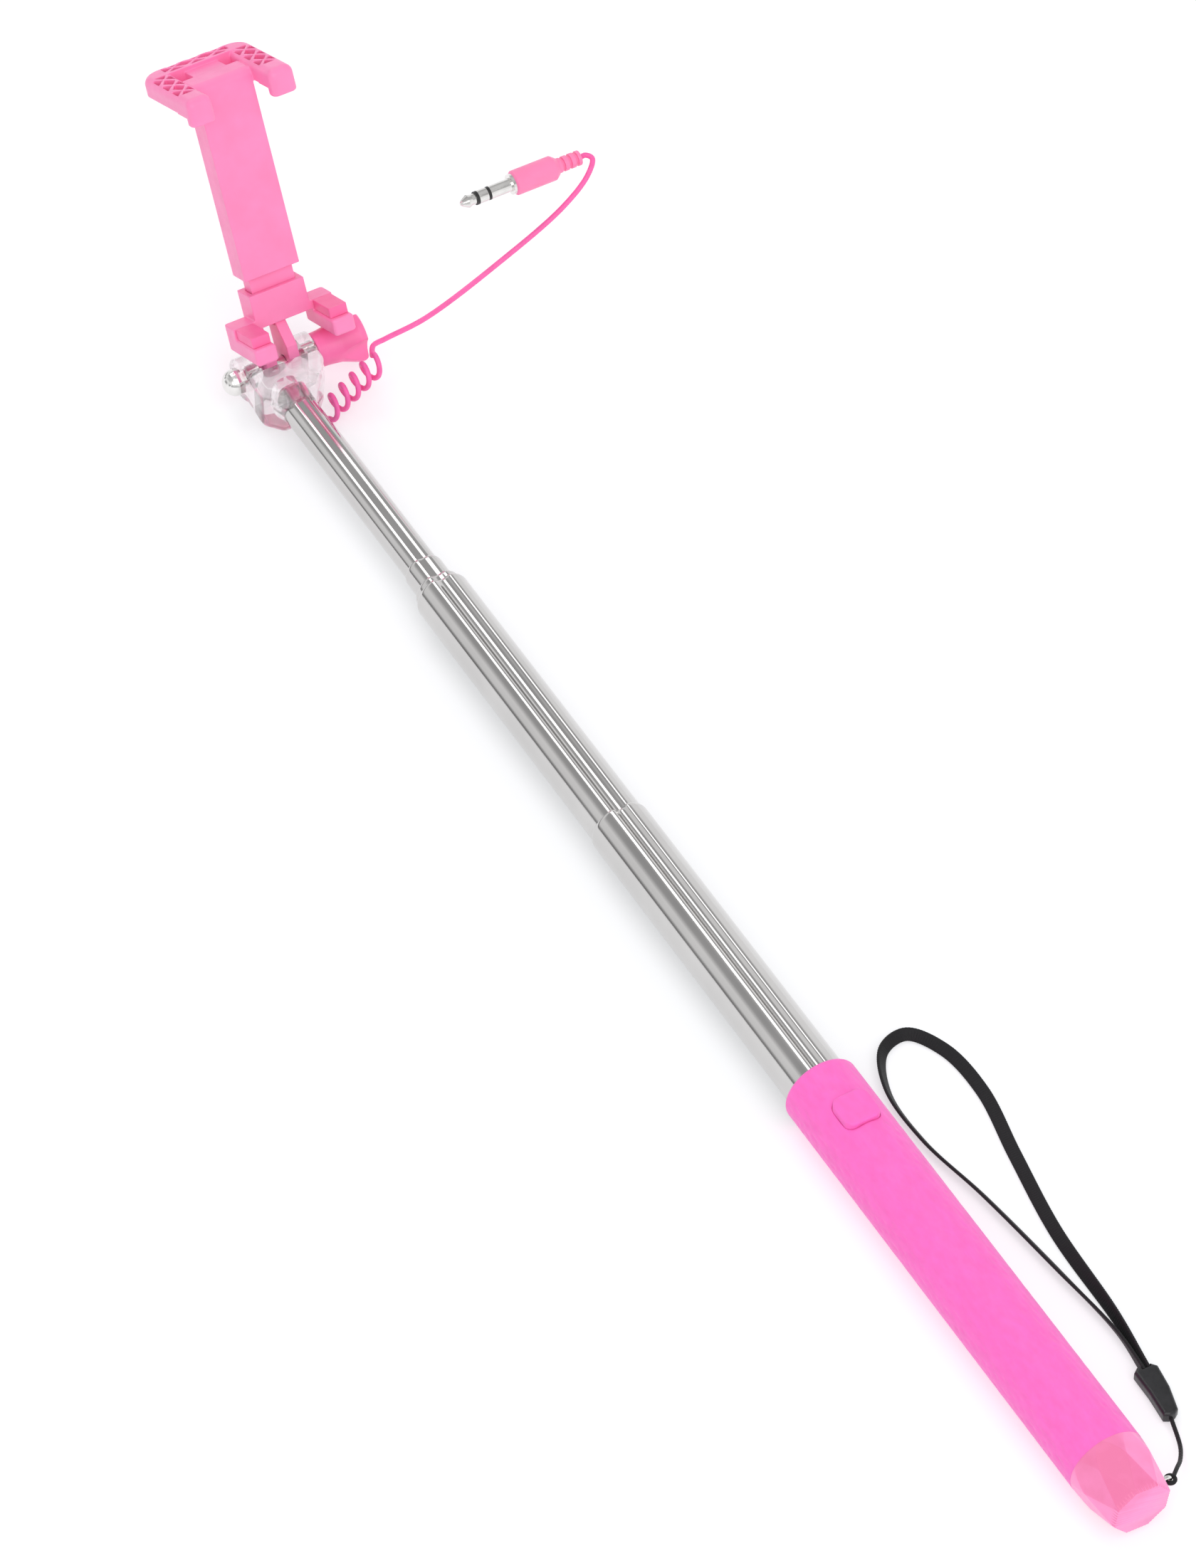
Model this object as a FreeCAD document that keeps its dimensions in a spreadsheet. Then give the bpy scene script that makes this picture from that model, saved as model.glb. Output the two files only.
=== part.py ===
import FreeCAD, Part
import math
import os
import re

import Sketcher

# Telescopic selfie stick with a wired shutter button, a tilting spring clamp and a coiled cable.
#
# Row frame, millimetres: the origin is the centre of the butt end, +Y runs along the pole towards
# the head, +Z is up and +X is the side that the tilt knob is on. The stick is modelled as it lies
# on a table, with three of its five tubes pulled out. The clamp's own frame sits on the tilt axis:
# x' is X, y' runs up the phone and z' points out of the phone's screen.

DIMENSIONS = {
    # grip
    "grip_radius": 9.1, "grip_bore": 7.9, "grip_start": 14, "grip_end": 131.5, "mouth_rounding": 1.1,
    "bushing_length": 8, "bushing_inset": 0.4, "fit_gap": 0.05, "through": 60,
    # faceted end cap
    "butt_radius": 6.8, "facet_station": 8, "spigot_length": 8,
    # shutter button
    "button_station": 116, "button_width": 8.9, "button_length": 8.7, "button_corner": 2.2,
    "button_top": 10.1, "button_gap": 0.1, "button_edge": 0.6, "button_under": 8.48,
    "flange_depth": 0.2, "flange_margin": 0.8, "board_under": 7.93, "board_depth": 0.2,
    "board_width": 6, "board_length": 17, "dome_radius": 2, "dome_height": 0.08,
    # telescopic tubes: outer radius, groove radius, top station and length of each
    "tube_wall": 0.3, "groove_centre": 7.4, "lip_length": 1.2, "lip_rounding": 0.35,
    "sleeve_length": 5, "run_length": 4, "channel_width": 7.8,
    "tube_radius_a": 7.5, "tube_groove_a": 1.5, "tube_top_a": 220.5, "tube_length_a": 102,
    "tube_radius_b": 6.9, "tube_groove_b": 2.0, "tube_top_b": 305.2, "tube_length_b": 98,
    "tube_radius_c": 6.0, "tube_groove_c": 2.5, "tube_top_c": 307.4, "tube_length_c": 94,
    "tube_radius_d": 5.0, "tube_groove_d": 3.0, "tube_top_d": 314.3, "tube_length_d": 90,
    "tube_radius_e": 4.45, "tube_groove_e": 3.5, "tube_top_e": 381, "tube_length_e": 86,
    # yoke and tilt pivot
    "pivot_station": 393, "tilt_rest": 65, "yoke_butt": 376, "yoke_half_depth": 6.5,
    "yoke_rounding": 3, "boss_radius": 5.5, "arm_left": -8, "arm_right": 11.8,
    "slot_left": -4.3, "slot_right": 8.1, "slot_floor": 387.3, "yoke_butt_half_width": 4.6,
    "chamber_radius": 3.2, "chamber_length": 3.6, "stud_radius": 1.95, "running_gap": 0.05,
    "washer_radius": 4.2, "washer_depth": 0.4, "nut_radius": 3.4, "nut_flat_depth": 1.5, "nut_dome_depth": 3.1,
    # thumb knob
    "knob_start": 12.3, "knob_end": 25, "knob_neck": 4.5, "knob_radius": 6.9, "knob_rounding": 0.9,
    "scoop_radius": 6, "scoop_offset": 11,
    # clamp base, in the clamp's frame
    "clamp_centre": 6.7, "foot_half_span": 13.6, "foot_inner": 7.75, "foot_bottom": 6.5,
    "rest_height": 13.45, "foot_front": 13, "foot_back": -4.5, "foot_step": 2.6, "foot_rounding": 0.9,
    "pad_front": 11.2, "pad_inset": 0.45, "bridge_bottom": 11.2, "bridge_front": 1.5,
    "ear_radius": 4.3, "ear_width": 2.9, "ear_centre_left": -0.35, "ear_centre_right": 5.85,
    "socket_top": 20,
    # guide post and spine
    "spine_half_width": 7.5, "spine_front": 1.5, "spine_back": -6, "spine_wall": 1.5,
    "spine_bottom": 24, "spine_top": 75.6, "spine_rounding": 2.4, "post_gap": 0.1, "post_top": 69,
    "groove_width": 3.5,
    "groove_depth": 3.5, "groove_spread": 2.7, "pin_radius": 0.6, "pin_height": 38,
    "spring_radius": 1.3, "spring_wire": 0.22, "spring_turns": 16, "hook_height": 73.3,
    "screw_height": 17, "screw_radius": 1, "screw_length": 4.2, "screw_head_radius": 1.9,
    "screw_head_depth": 1.1,
    # upper jaw
    "jaw_opening": 58.6, "jaw_half_span": 14.3, "jaw_arm_width": 6.6, "jaw_depth_back": -18,
    "jaw_depth_front": 12.5, "jaw_thickness": 4.7, "lip_drop": 2.3, "lip_depth": 2.8,
    "jaw_corner": 5, "jaw_edge": 0.7, "lip_rounding_front": 1.6, "truss_depth": 2.2,
    "truss_margin": 0.95, "truss_rib": 0.75, "lip_rounding_top": 2.0,
    "neck_half_width": 4.5, "neck_bottom": 64, "jaw_pad_depth": 0.8, "jaw_pad_length": 7,
    # cable and plug
    "cord_radius": 0.68, "coil_radius": 2.6, "coil_turns": 4.75, "coil_height": -5.8,
    "inner_coil_radius": 2.1, "inner_coil_pitch": 3.2, "inner_coil_start": 27, "inner_coil_end": 97,
    "plug_station": 398.1, "plug_height": 24.4, "barrel_start": 72, "barrel_end": 84.5,
    "barrel_radius": 3.2, "relief_end": 91, "relief_radius": 1.95, "relief_pitch": 1.9,
    "relief_slot": 0.7, "jack_radius": 1.75, "jack_length": 14, "contact_gap": 0.8,
    # wrist strap
    "eyelet_station": 3.5, "eyelet_centre": 8, "eyelet_spread": 1.3, "eyelet_wire": 0.45,
    "eyelet_leg": 4,
    "loop_radius": 1.02, "strap_cord_radius": 0.5, "strap_height": -7.35, "clasp_depth": 3.2,
    "clasp_rounding": 0.8, "ribbon_width": 3.3, "ribbon_depth": 0.9, "ribbon_start": 34,
    "ribbon_end_a": 23.2, "ribbon_end_b": 24.3,
}

doc = FreeCAD.newDocument("SelfieStick")
sheet = doc.addObject("Spreadsheet::Sheet", "dim")
for row, (alias, number) in enumerate(DIMENSIONS.items(), start=1):
    sheet.set("A%d" % row, alias)
    sheet.set("B%d" % row, str(number))
    sheet.setAlias("B%d" % row, alias)
doc.recompute()

SUB_PARTS = []


# ---- expressions, placements and small helpers -------------------------------------------------

def cells(text):
    """Turn the plain names in an expression into references to the sheet's cells."""
    return re.sub(r"[a-z_]+", lambda word: "dim." + word[0] if word[0] in DIMENSIONS else word[0],
                  text)


def value(text):
    return float(sheet.evalExpression(cells(text)))


def bind(item, **properties):
    for name, text in properties.items():
        item.setExpression(name, cells(text))


def place(item, x="0", y="0", z="0", turn=FreeCAD.Rotation()):
    item.Placement = FreeCAD.Placement(FreeCAD.Vector(), turn)
    for axis, text in (("x", x), ("y", y), ("z", z)):
        item.setExpression("Placement.Base." + axis, cells(text))


def finish(item, node):
    item.Label = node
    SUB_PARTS.append(item)
    return item


ABOUT_X = FreeCAD.Vector(1, 0, 0)
ABOUT_Y = FreeCAD.Vector(0, 1, 0)
ABOUT_Z = FreeCAD.Vector(0, 0, 1)
ALONG_POLE = FreeCAD.Rotation(ABOUT_X, -90)
ALONG_X = FreeCAD.Rotation(ABOUT_Y, 90)
UPRIGHT = FreeCAD.Rotation()
CLAMP_TURN = FreeCAD.Rotation(ABOUT_X, value("tilt_rest"))
CLAMP_FRAME = FreeCAD.Placement(FreeCAD.Vector(0, value("pivot_station"), 0), CLAMP_TURN)
BOARD_STATION = "(button_station - 3.6)"
SPRING_AXIS = "spine_back + spine_wall + post_gap + groove_depth / 2"


# ---- Part primitives and booleans --------------------------------------------------------------

def cylinder(name, radius, length, x="0", y="0", z="0", turn=ALONG_POLE):
    item = doc.addObject("Part::Cylinder", name)
    bind(item, Radius=radius, Height=length)
    place(item, x, y, z, turn)
    return item


def box(name, size, corner):
    item = doc.addObject("Part::Box", name)
    bind(item, Length=size[0], Width=size[1], Height=size[2])
    place(item, *corner)
    return item


def torus(name, ring_radius, wire_radius, x, y, z, turn=UPRIGHT):
    item = doc.addObject("Part::Torus", name)
    bind(item, Radius1=ring_radius, Radius2=wire_radius)
    place(item, x, y, z, turn)
    return item


def cut(name, base, tool):
    item = doc.addObject("Part::Cut", name)
    item.Base = base
    item.Tool = tool
    return item


def common(name, first, second):
    item = doc.addObject("Part::Common", name)
    item.Base = first
    item.Tool = second
    return item


def fuse(name, *shapes):
    item = doc.addObject("Part::MultiFuse", name)
    item.Shapes = list(shapes)
    return item


def round_edges(name, base, radius, chosen):
    """Fillet the base's edges for which chosen(edge) is true."""
    doc.recompute()
    item = doc.addObject("Part::Fillet", name)
    item.Base = base
    size = value(radius)
    item.Edges = [(number, size, size) for number, edge in enumerate(base.Shape.Edges, start=1)
                  if chosen(edge)]
    return item


def is_circle_at(radius, station):
    """An edge test for the circle of this radius about the pole's axis, at this Y."""
    def test(edge):
        curve = edge.Curve
        return (isinstance(curve, Part.Circle) and abs(curve.Radius - value(radius)) < 0.01
                and abs(curve.Center.y - value(station)) < 0.01 and abs(curve.Center.z) < 0.01)
    return test


def runs_along(direction):
    """An edge test for straight edges parallel to a direction."""
    def test(edge):
        if not isinstance(edge.Curve, Part.Line):
            return False
        return abs(abs(edge.Curve.Direction.dot(direction)) - 1) < 1e-6
    return test


# ---- PartDesign bodies -------------------------------------------------------------------------

def new_body(node, placement):
    body = doc.addObject("PartDesign::Body", node + "_body")
    body.Placement = placement
    return finish(body, node)


def clamp_body(node):
    """A body whose own frame is the clamp's."""
    body = new_body(node, CLAMP_FRAME)
    bind(body, **{"Placement.Base.y": "pivot_station"})
    return body


def new_sketch(body, plane, offset="0"):
    sketch = body.newObject("Sketcher::SketchObject", body.Name + "_sketch")
    support = [item for item in body.Origin.OriginFeatures if item.Role == plane][0]
    sketch.AttachmentSupport = [(support, "")]
    sketch.MapMode = "FlatFace"
    bind(sketch, **{"AttachmentOffset.Base.z": offset})
    return sketch


def dimension(sketch, kind, item, point, text):
    number = sketch.addConstraint(Sketcher.Constraint(kind, -1, 1, item, point, value(text)))
    sketch.setExpression("Constraints[%d]" % number, cells(text))


def polygon(sketch, points):
    """Draw a closed outline whose corners are bound to expressions."""
    first = sketch.GeometryCount
    count = len(points)
    corners = [FreeCAD.Vector(value(x), value(y), 0) for x, y in points]
    for number in range(count):
        sketch.addGeometry(Part.LineSegment(corners[number], corners[(number + 1) % count]), False)
    for number in range(count):
        following = first + (number + 1) % count
        sketch.addConstraint(Sketcher.Constraint("Coincident", first + number, 2, following, 1))
    for number, (x, y) in enumerate(points):
        dimension(sketch, "DistanceX", first + number, 1, x)
        dimension(sketch, "DistanceY", first + number, 1, y)


def rectangle(sketch, left, bottom, right, top):
    polygon(sketch, [(left, bottom), (right, bottom), (right, top), (left, top)])


def circle(sketch, x, y, radius):
    centre = FreeCAD.Vector(value(x), value(y), 0)
    item = sketch.addGeometry(Part.Circle(centre, ABOUT_Z, value(radius)), False)
    number = sketch.addConstraint(Sketcher.Constraint("Radius", item, value(radius)))
    sketch.setExpression("Constraints[%d]" % number, cells(radius))
    dimension(sketch, "DistanceX", item, 3, x)
    dimension(sketch, "DistanceY", item, 3, y)


def pad(body, sketch, length, midplane=False, backwards=False):
    feature = body.newObject("PartDesign::Pad", body.Name + "_pad")
    feature.Profile = sketch
    feature.Midplane = midplane
    feature.Reversed = backwards
    bind(feature, Length=length)
    return feature


def pocket(body, sketch, length, midplane=False, backwards=False):
    """Cut the sketch into the body, and insist that material was removed."""
    doc.recompute()
    before = body.Shape.Volume
    feature = body.newObject("PartDesign::Pocket", body.Name + "_pocket")
    feature.Profile = sketch
    feature.Midplane = midplane
    feature.Reversed = backwards
    bind(feature, Length=length)
    doc.recompute()
    if body.Shape.Volume > before - 1e-4:
        raise RuntimeError("the pocket in " + body.Label + " cuts nothing")
    return feature


def revolve(body, sketch):
    feature = body.newObject("PartDesign::Revolution", body.Name + "_turn")
    feature.Profile = sketch
    feature.ReferenceAxis = (sketch, ["V_Axis"])
    feature.Angle = 360
    return feature


def dress(body, kind, size, chosen):
    """Fillet or chamfer the tip's edges for which chosen(edge) is true, in the body's own frame."""
    doc.recompute()
    base = body.Tip
    names = ["Edge%d" % number for number, edge in enumerate(base.Shape.Edges, start=1)
             if chosen(edge)]
    feature = body.newObject("PartDesign::" + kind, body.Name + "_" + kind.lower())
    feature.Base = (base, names)
    bind(feature, **{"Radius" if kind == "Fillet" else "Size": size})
    doc.recompute()
    return feature


def middle(edge):
    return edge.CenterOfMass


# ---- shapes set from code ----------------------------------------------------------------------

def shaped(node, shape):
    item = doc.addObject("Part::Feature", node + "_shape")
    item.Shape = shape
    return finish(item, node)


def swept(points, profile):
    """Sweep a wire, drawn at the first point, along a smooth curve through the points."""
    curve = Part.BSplineCurve()
    curve.interpolate(points)
    path = Part.Wire([curve.toShape()])
    return path.makePipeShell([profile(points[0], curve.tangent(curve.FirstParameter)[0])],
                              True, True)


def round_profile(radius):
    def profile(point, direction):
        return Part.Wire([Part.makeCircle(radius, point, direction)])
    return profile


def helix_points(start, end, radius, turns, first_angle, per_turn=12):
    """Points of a helix about the line from start to end; angles count from the -Y side to +Z."""
    axis = end - start
    length = axis.Length
    axis.normalize()
    side = axis.cross(ABOUT_Z)
    side.normalize()
    count = int(round(turns * per_turn))
    points = []
    for number in range(count + 1):
        share = number / count
        angle = math.radians(first_angle) + 2 * math.pi * turns * share
        points.append(start + axis * (length * share) + side * (radius * math.cos(angle))
                      + ABOUT_Z * (radius * math.sin(angle)))
    return points


# ---- grip and end cap --------------------------------------------------------------------------

def make_handle_shell():
    length = "grip_end - grip_start"
    outside = cylinder("grip_outside", "grip_radius", length, y="grip_start")
    rounded = round_edges("grip_rounded", outside, "mouth_rounding",
                          is_circle_at("grip_radius", "grip_end"))
    bore = cylinder("grip_bore_tool", "grip_bore", length, y="grip_start")
    tube = cut("grip_tube", rounded, bore)
    window = rounded_block("grip_window", "button_width + 2 * button_gap",
                           "button_length + 2 * button_gap", "button_corner")
    opened = cut("grip_opened", tube, window)
    recess = button_ring("grip_recess", "board_under - fit_gap",
                         "button_under + flange_depth + fit_gap",
                         "button_width + 2 * flange_margin + 2 * button_gap",
                         "button_length + 2 * flange_margin + 2 * button_gap")
    board_bed = button_ring("board_bed", "board_under - fit_gap", "board_under + board_depth + fit_gap",
                            "board_width + 4 * fit_gap", "board_length + 4 * fit_gap", BOARD_STATION)
    recessed = cut("grip_recessed", opened, recess)
    finish(cut("handle_shell_cut", recessed, board_bed), "handle_shell")


def rounded_block(name, width, length, corner):
    """An upright block over the button's station, with rounded vertical edges."""
    block = box(name + "_block", (width, length, "button_top - board_under + 1"),
                ("-(%s) / 2" % width, "button_station - (%s) / 2" % length, "board_under - 1"))
    return round_edges(name, block, corner, runs_along(ABOUT_Z))


def button_ring(name, inner, outer, width, length, station="button_station"):
    """The part of a ring about the pole's axis that lies over a station, width by length."""
    start = "%s - (%s) / 2" % (station, length)
    ring = cut(name + "_ring", cylinder(name + "_outer", outer, length, y=start),
               cylinder(name + "_inner", inner, length, y=start))
    block = box(name + "_box", (width, length, outer), ("-(%s) / 2" % width, start, "0"))
    return common(name, ring, block)


def make_grip_mouth_bushing():
    """The bearing ring in the grip's mouth, with a key that runs in the first tube's groove."""
    start = "grip_end - bushing_inset - bushing_length"
    outside = cylinder("mouth_outside", "grip_bore", "bushing_length", y=start)
    bore = grooved_rod("mouth_bore", "tube_radius_a + fit_gap", "tube_groove_a - fit_gap",
                       "bushing_length", start)
    finish(cut("grip_mouth_bushing_cut", outside, bore), "grip_mouth_bushing")


def make_end_cap():
    """A nine-sided cap: triangles at the joint, long lozenges between them, triangles at the butt."""
    sides = 9
    pitch = 360 / sides
    first = 22.5
    share = value("facet_station / grip_start")
    on_line = value("butt_radius") + (value("grip_radius") - value("butt_radius")) * share
    waist_radius = on_line / math.cos(math.radians(pitch / 2))

    def ring(radius, station, shift):
        corners = []
        for number in range(sides):
            angle = math.radians(first + pitch * (number + shift))
            corners.append(FreeCAD.Vector(radius * math.sin(angle), station, radius * math.cos(angle)))
        return corners

    butt = ring(value("butt_radius"), 0, 0)
    waist = ring(waist_radius, value("facet_station"), 0.5)
    joint = ring(value("grip_radius"), value("grip_start"), 0)
    outlines = [butt, joint]
    for number in range(sides):
        following = (number + 1) % sides
        outlines.append([joint[number], joint[following], waist[number]])
        outlines.append([butt[number], butt[following], waist[number]])
        outlines.append([joint[number], waist[number - 1], butt[number]])
        outlines.append([joint[number], butt[number], waist[number]])
    faces = [Part.Face(Part.makePolygon(outline + [outline[0]])) for outline in outlines]
    solid = Part.makeSolid(Part.makeShell(faces))
    if solid.Volume < 0:
        solid.reverse()
    spigot = Part.makeCylinder(value("grip_bore - fit_gap"), value("spigot_length"),
                               FreeCAD.Vector(0, value("grip_start"), 0), ABOUT_Y)
    cap = solid.removeSplitter().fuse(spigot)
    for side in (-1, 1):
        corner = FreeCAD.Vector(value("eyelet_centre - eyelet_leg"), value("eyelet_station"),
                                side * value("eyelet_spread"))
        hole = Part.makeCylinder(value("eyelet_wire"), value("grip_radius"), corner, ABOUT_X)
        cap = cap.cut(hole)
    shaped("end_cap", cap)


def make_strap_eyelet():
    """A wire staple: two legs into the cap, joined by a half ring outside it."""
    bow = torus("staple_bow", "eyelet_spread", "eyelet_wire", "eyelet_centre", "eyelet_station", "0",
                ALONG_POLE.multiply(FreeCAD.Rotation(ABOUT_Z, -90)))
    bow.Angle3 = 180
    legs = [cylinder("staple_leg", "eyelet_wire", "eyelet_leg", "eyelet_centre - eyelet_leg",
                     "eyelet_station", "%d * eyelet_spread" % side, ALONG_X) for side in (-1, 1)]
    finish(fuse("strap_eyelet_fuse", bow, *legs), "strap_eyelet")


# ---- shutter button ----------------------------------------------------------------------------

def make_switch():
    """The flexible board under the button, curved to the grip's bore, and its contact dome."""
    finish(button_ring("switch_board_ring", "board_under", "board_under + board_depth",
                       "board_width", "board_length", BOARD_STATION), "switch_board")
    top = "board_under + board_depth"
    ring = button_ring("dome_ring", top, top + " + dome_height", "board_width", "board_width")
    disc = cylinder("dome_disc", "dome_radius", "button_top", y="button_station", turn=UPRIGHT)
    finish(common("switch_dome_common", ring, disc), "switch_dome")


def make_button_cap():
    """The raised pad that stands in the grip's window, on a thin flange that keeps it in."""
    block = rounded_block("button_block", "button_width", "button_length", "button_corner")
    height = "button_top - board_under + 1"
    lowered = box("button_trim", ("3 * button_width", "3 * button_length", height),
                  ("-1.5 * button_width", "button_station - 1.5 * button_length", "button_top"))
    trimmed = cut("button_trimmed", block, lowered)
    edge_height = value("button_top")

    def is_top_edge(edge):
        return abs(middle(edge).z - edge_height) < 0.01

    softened = round_edges("button_softened", trimmed, "button_edge", is_top_edge)
    core = cylinder("button_core", "button_under", "3 * button_length",
                    y="button_station - 1.5 * button_length")
    pad_part = cut("button_pad", softened, core)
    flange = button_ring("button_flange", "button_under", "button_under + flange_depth",
                         "button_width + 2 * flange_margin", "button_length + 2 * flange_margin")
    finish(fuse("button_cap_fuse", pad_part, flange), "button_cap")


# ---- telescopic tubes --------------------------------------------------------------------------

def grooved_rod(name, radius, groove, length, start):
    """A rod about the pole's axis with a round groove along its top."""
    rod = cylinder(name + "_rod", radius, length, y=start)
    tool = cylinder(name + "_groove", groove, length, y=start, z="groove_centre")
    return cut(name, rod, tool)


def make_tube(number, letter, following):
    """A drawn steel tube; its mouth is rolled in to run on the next tube."""
    radius = "tube_radius_" + letter
    groove = "tube_groove_" + letter
    top = "tube_top_" + letter
    length = "tube_length_" + letter
    name = "tube_%d" % number
    start = top + " - " + length
    rod = cylinder(name + "_rod", radius, length, y=start)
    rounded = round_edges(name + "_rounded", rod, "lip_rounding", is_circle_at(radius, top))
    tool = cylinder(name + "_groove", groove, length, y=start, z="groove_centre")
    outside = cut(name + "_outside", rounded, tool)
    bored = length + (" - lip_length" if following else "")
    bore = grooved_rod(name + "_bore", radius + " - tube_wall", groove + " + tube_wall", bored, start)
    tube = cut(name + "_bored", outside, bore)
    if following:
        mouth = grooved_rod(name + "_mouth", "tube_radius_%s + fit_gap" % following,
                            "tube_groove_%s - fit_gap" % following, "2 * lip_length",
                            top + " - 1.5 * lip_length")
        tube = cut(name + "_cut", tube, mouth)
    finish(tube, name)


def make_tube_sleeve(number, letter, outer_radius, length, channel):
    """The plastic sleeve on a tube's lower end that runs inside the tube around it."""
    name = "tube_%d_sleeve" % number
    start = "tube_top_%s - tube_length_%s" % (letter, letter)
    ring = cylinder(name + "_ring", outer_radius + " - fit_gap", length, y=start)
    bore = cylinder(name + "_bore", "tube_radius_" + letter, length, y=start)
    closed = cut(name + "_closed", ring, bore)
    gap = box(name + "_gap", (channel, length, "grip_radius"), ("-(%s) / 2" % channel, start, "0"))
    finish(cut(name + "_cut", closed, gap), name)


def make_tubes():
    letters = "abcde"
    for number, letter in enumerate(letters, start=1):
        make_tube(number, letter, letters[number] if number < len(letters) else None)
        if number == 1:
            make_tube_sleeve(number, letter, "grip_bore", "run_length", "channel_width")
        else:
            outer = "tube_radius_%s - tube_wall" % letters[number - 2]
            make_tube_sleeve(number, letter, outer, "sleeve_length", "2 * tube_groove_" + letter)


# ---- yoke and pivot ----------------------------------------------------------------------------

CHANNEL_START = FreeCAD.Vector(0, 384.1, 0)
CHANNEL_END = FreeCAD.Vector(4.5, 380.4, -7.2)


def make_yoke():
    """The clear fork: a rounded block on the last tube with two round-ended arms."""
    body = new_body("yoke", FreeCAD.Placement())
    outline = new_sketch(body, "XY_Plane")
    polygon(outline, [("-yoke_butt_half_width", "yoke_butt"), ("yoke_butt_half_width", "yoke_butt"),
                      ("8.6", "yoke_butt + 4.6"),
                      ("arm_right", "yoke_butt + 10"), ("arm_right", "pivot_station"),
                      ("arm_left", "pivot_station"), ("arm_left", "yoke_butt + 12"),
                      ("arm_left - 0.4", "yoke_butt + 6.5"), ("arm_left - 0.4", "yoke_butt + 4.6")])
    pad(body, outline, "2 * yoke_half_depth", midplane=True)
    pivot = value("pivot_station")

    def is_outer_edge(edge):
        return middle(edge).y < pivot - 0.5

    dress(body, "Fillet", "yoke_rounding", is_outer_edge)
    ends = new_sketch(body, "YZ_Plane")
    rectangle(ends, "slot_floor + 1", "-2 * yoke_half_depth", "pivot_station + 1", "-boss_radius")
    rectangle(ends, "slot_floor + 1", "boss_radius", "pivot_station + 1", "2 * yoke_half_depth")
    pocket(body, ends, "through", midplane=True)
    bosses = new_sketch(body, "YZ_Plane", "arm_left")
    circle(bosses, "pivot_station", "0", "boss_radius")
    pad(body, bosses, "arm_right - arm_left")
    slot = new_sketch(body, "XY_Plane")
    rectangle(slot, "slot_left", "slot_floor", "slot_right", "pivot_station + 2 * boss_radius")
    pocket(body, slot, "through", midplane=True)
    socket = new_sketch(body, "XZ_Plane", "-yoke_butt")
    circle(socket, "0", "0", "tube_radius_e + fit_gap")
    pocket(body, socket, "tube_top_e - yoke_butt")
    chamber = new_sketch(body, "XZ_Plane", "-tube_top_e + 0.5")
    circle(chamber, "0", "0", "chamber_radius")
    pocket(body, chamber, "chamber_length + 0.5")
    bore = new_sketch(body, "YZ_Plane", "arm_left - 1")
    circle(bore, "pivot_station", "0", "stud_radius + running_gap")
    pocket(body, bore, "through", backwards=True)
    return body


def make_cable_channel(body):
    """Drill the cable's channel from the yoke's chamber out through its underside."""
    SUB_PARTS.remove(body)
    body.Label = "yoke_block"
    along = CHANNEL_END - CHANNEL_START
    drill = doc.addObject("Part::Cylinder", "channel_drill")
    drill.Placement = FreeCAD.Placement(CHANNEL_START, FreeCAD.Rotation(ABOUT_Z, along))
    bind(drill, Radius="cord_radius + 0.5")
    drill.Height = along.Length + 2
    finish(cut("yoke_cut", body, drill), "yoke")


def make_tube_end_plug():
    """The plug that closes the last tube and leads the cable through its middle."""
    start = "tube_top_e - 8"
    rod = grooved_rod("plug_rod", "tube_radius_e - tube_wall", "tube_groove_e + tube_wall", "8", start)
    hole = cylinder("plug_hole", "cord_radius + fit_gap", "8", y=start)
    finish(cut("tube_end_plug_cut", rod, hole), "tube_end_plug")


def make_dome_nut():
    """A hexagon with a domed, closed end, threaded on the stud from the left."""
    body = new_body("dome_nut", FreeCAD.Placement(FreeCAD.Vector(), ALONG_X))
    bind(body, **{"Placement.Base.x": "arm_left", "Placement.Base.y": "pivot_station"})
    profile = new_sketch(body, "XZ_Plane")
    dome = [("nut_radius * cos(%d)" % angle, "-nut_flat_depth - nut_dome_depth * sin(%d)" % angle)
            for angle in range(0, 90, 10)]
    polygon(profile, [("0", "0"), ("nut_radius", "0")] + dome
            + [("0", "-nut_flat_depth - nut_dome_depth")])
    revolve(body, profile)
    hole = new_sketch(body, "XY_Plane")
    circle(hole, "0", "0", "stud_radius + running_gap")
    pocket(body, hole, "nut_flat_depth + 1")
    flats = new_sketch(body, "XY_Plane")
    corner = "1.1547 * 0.93 * nut_radius"
    polygon(flats, [("%s * cos(%d)" % (corner, angle), "%s * sin(%d)" % (corner, angle))
                    for angle in range(0, 360, 60)])
    circle(flats, "0", "0", "2 * nut_radius")
    pocket(body, flats, "nut_flat_depth")


def make_knob_washer():
    start = "arm_right + fit_gap"
    disc = cylinder("washer_disc", "washer_radius", "washer_depth", start, "pivot_station", "0",
                    ALONG_X)
    hole = cylinder("washer_hole", "stud_radius + running_gap", "washer_depth", start,
                    "pivot_station", "0", ALONG_X)
    finish(cut("knob_washer_cut", disc, hole), "knob_washer")


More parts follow.
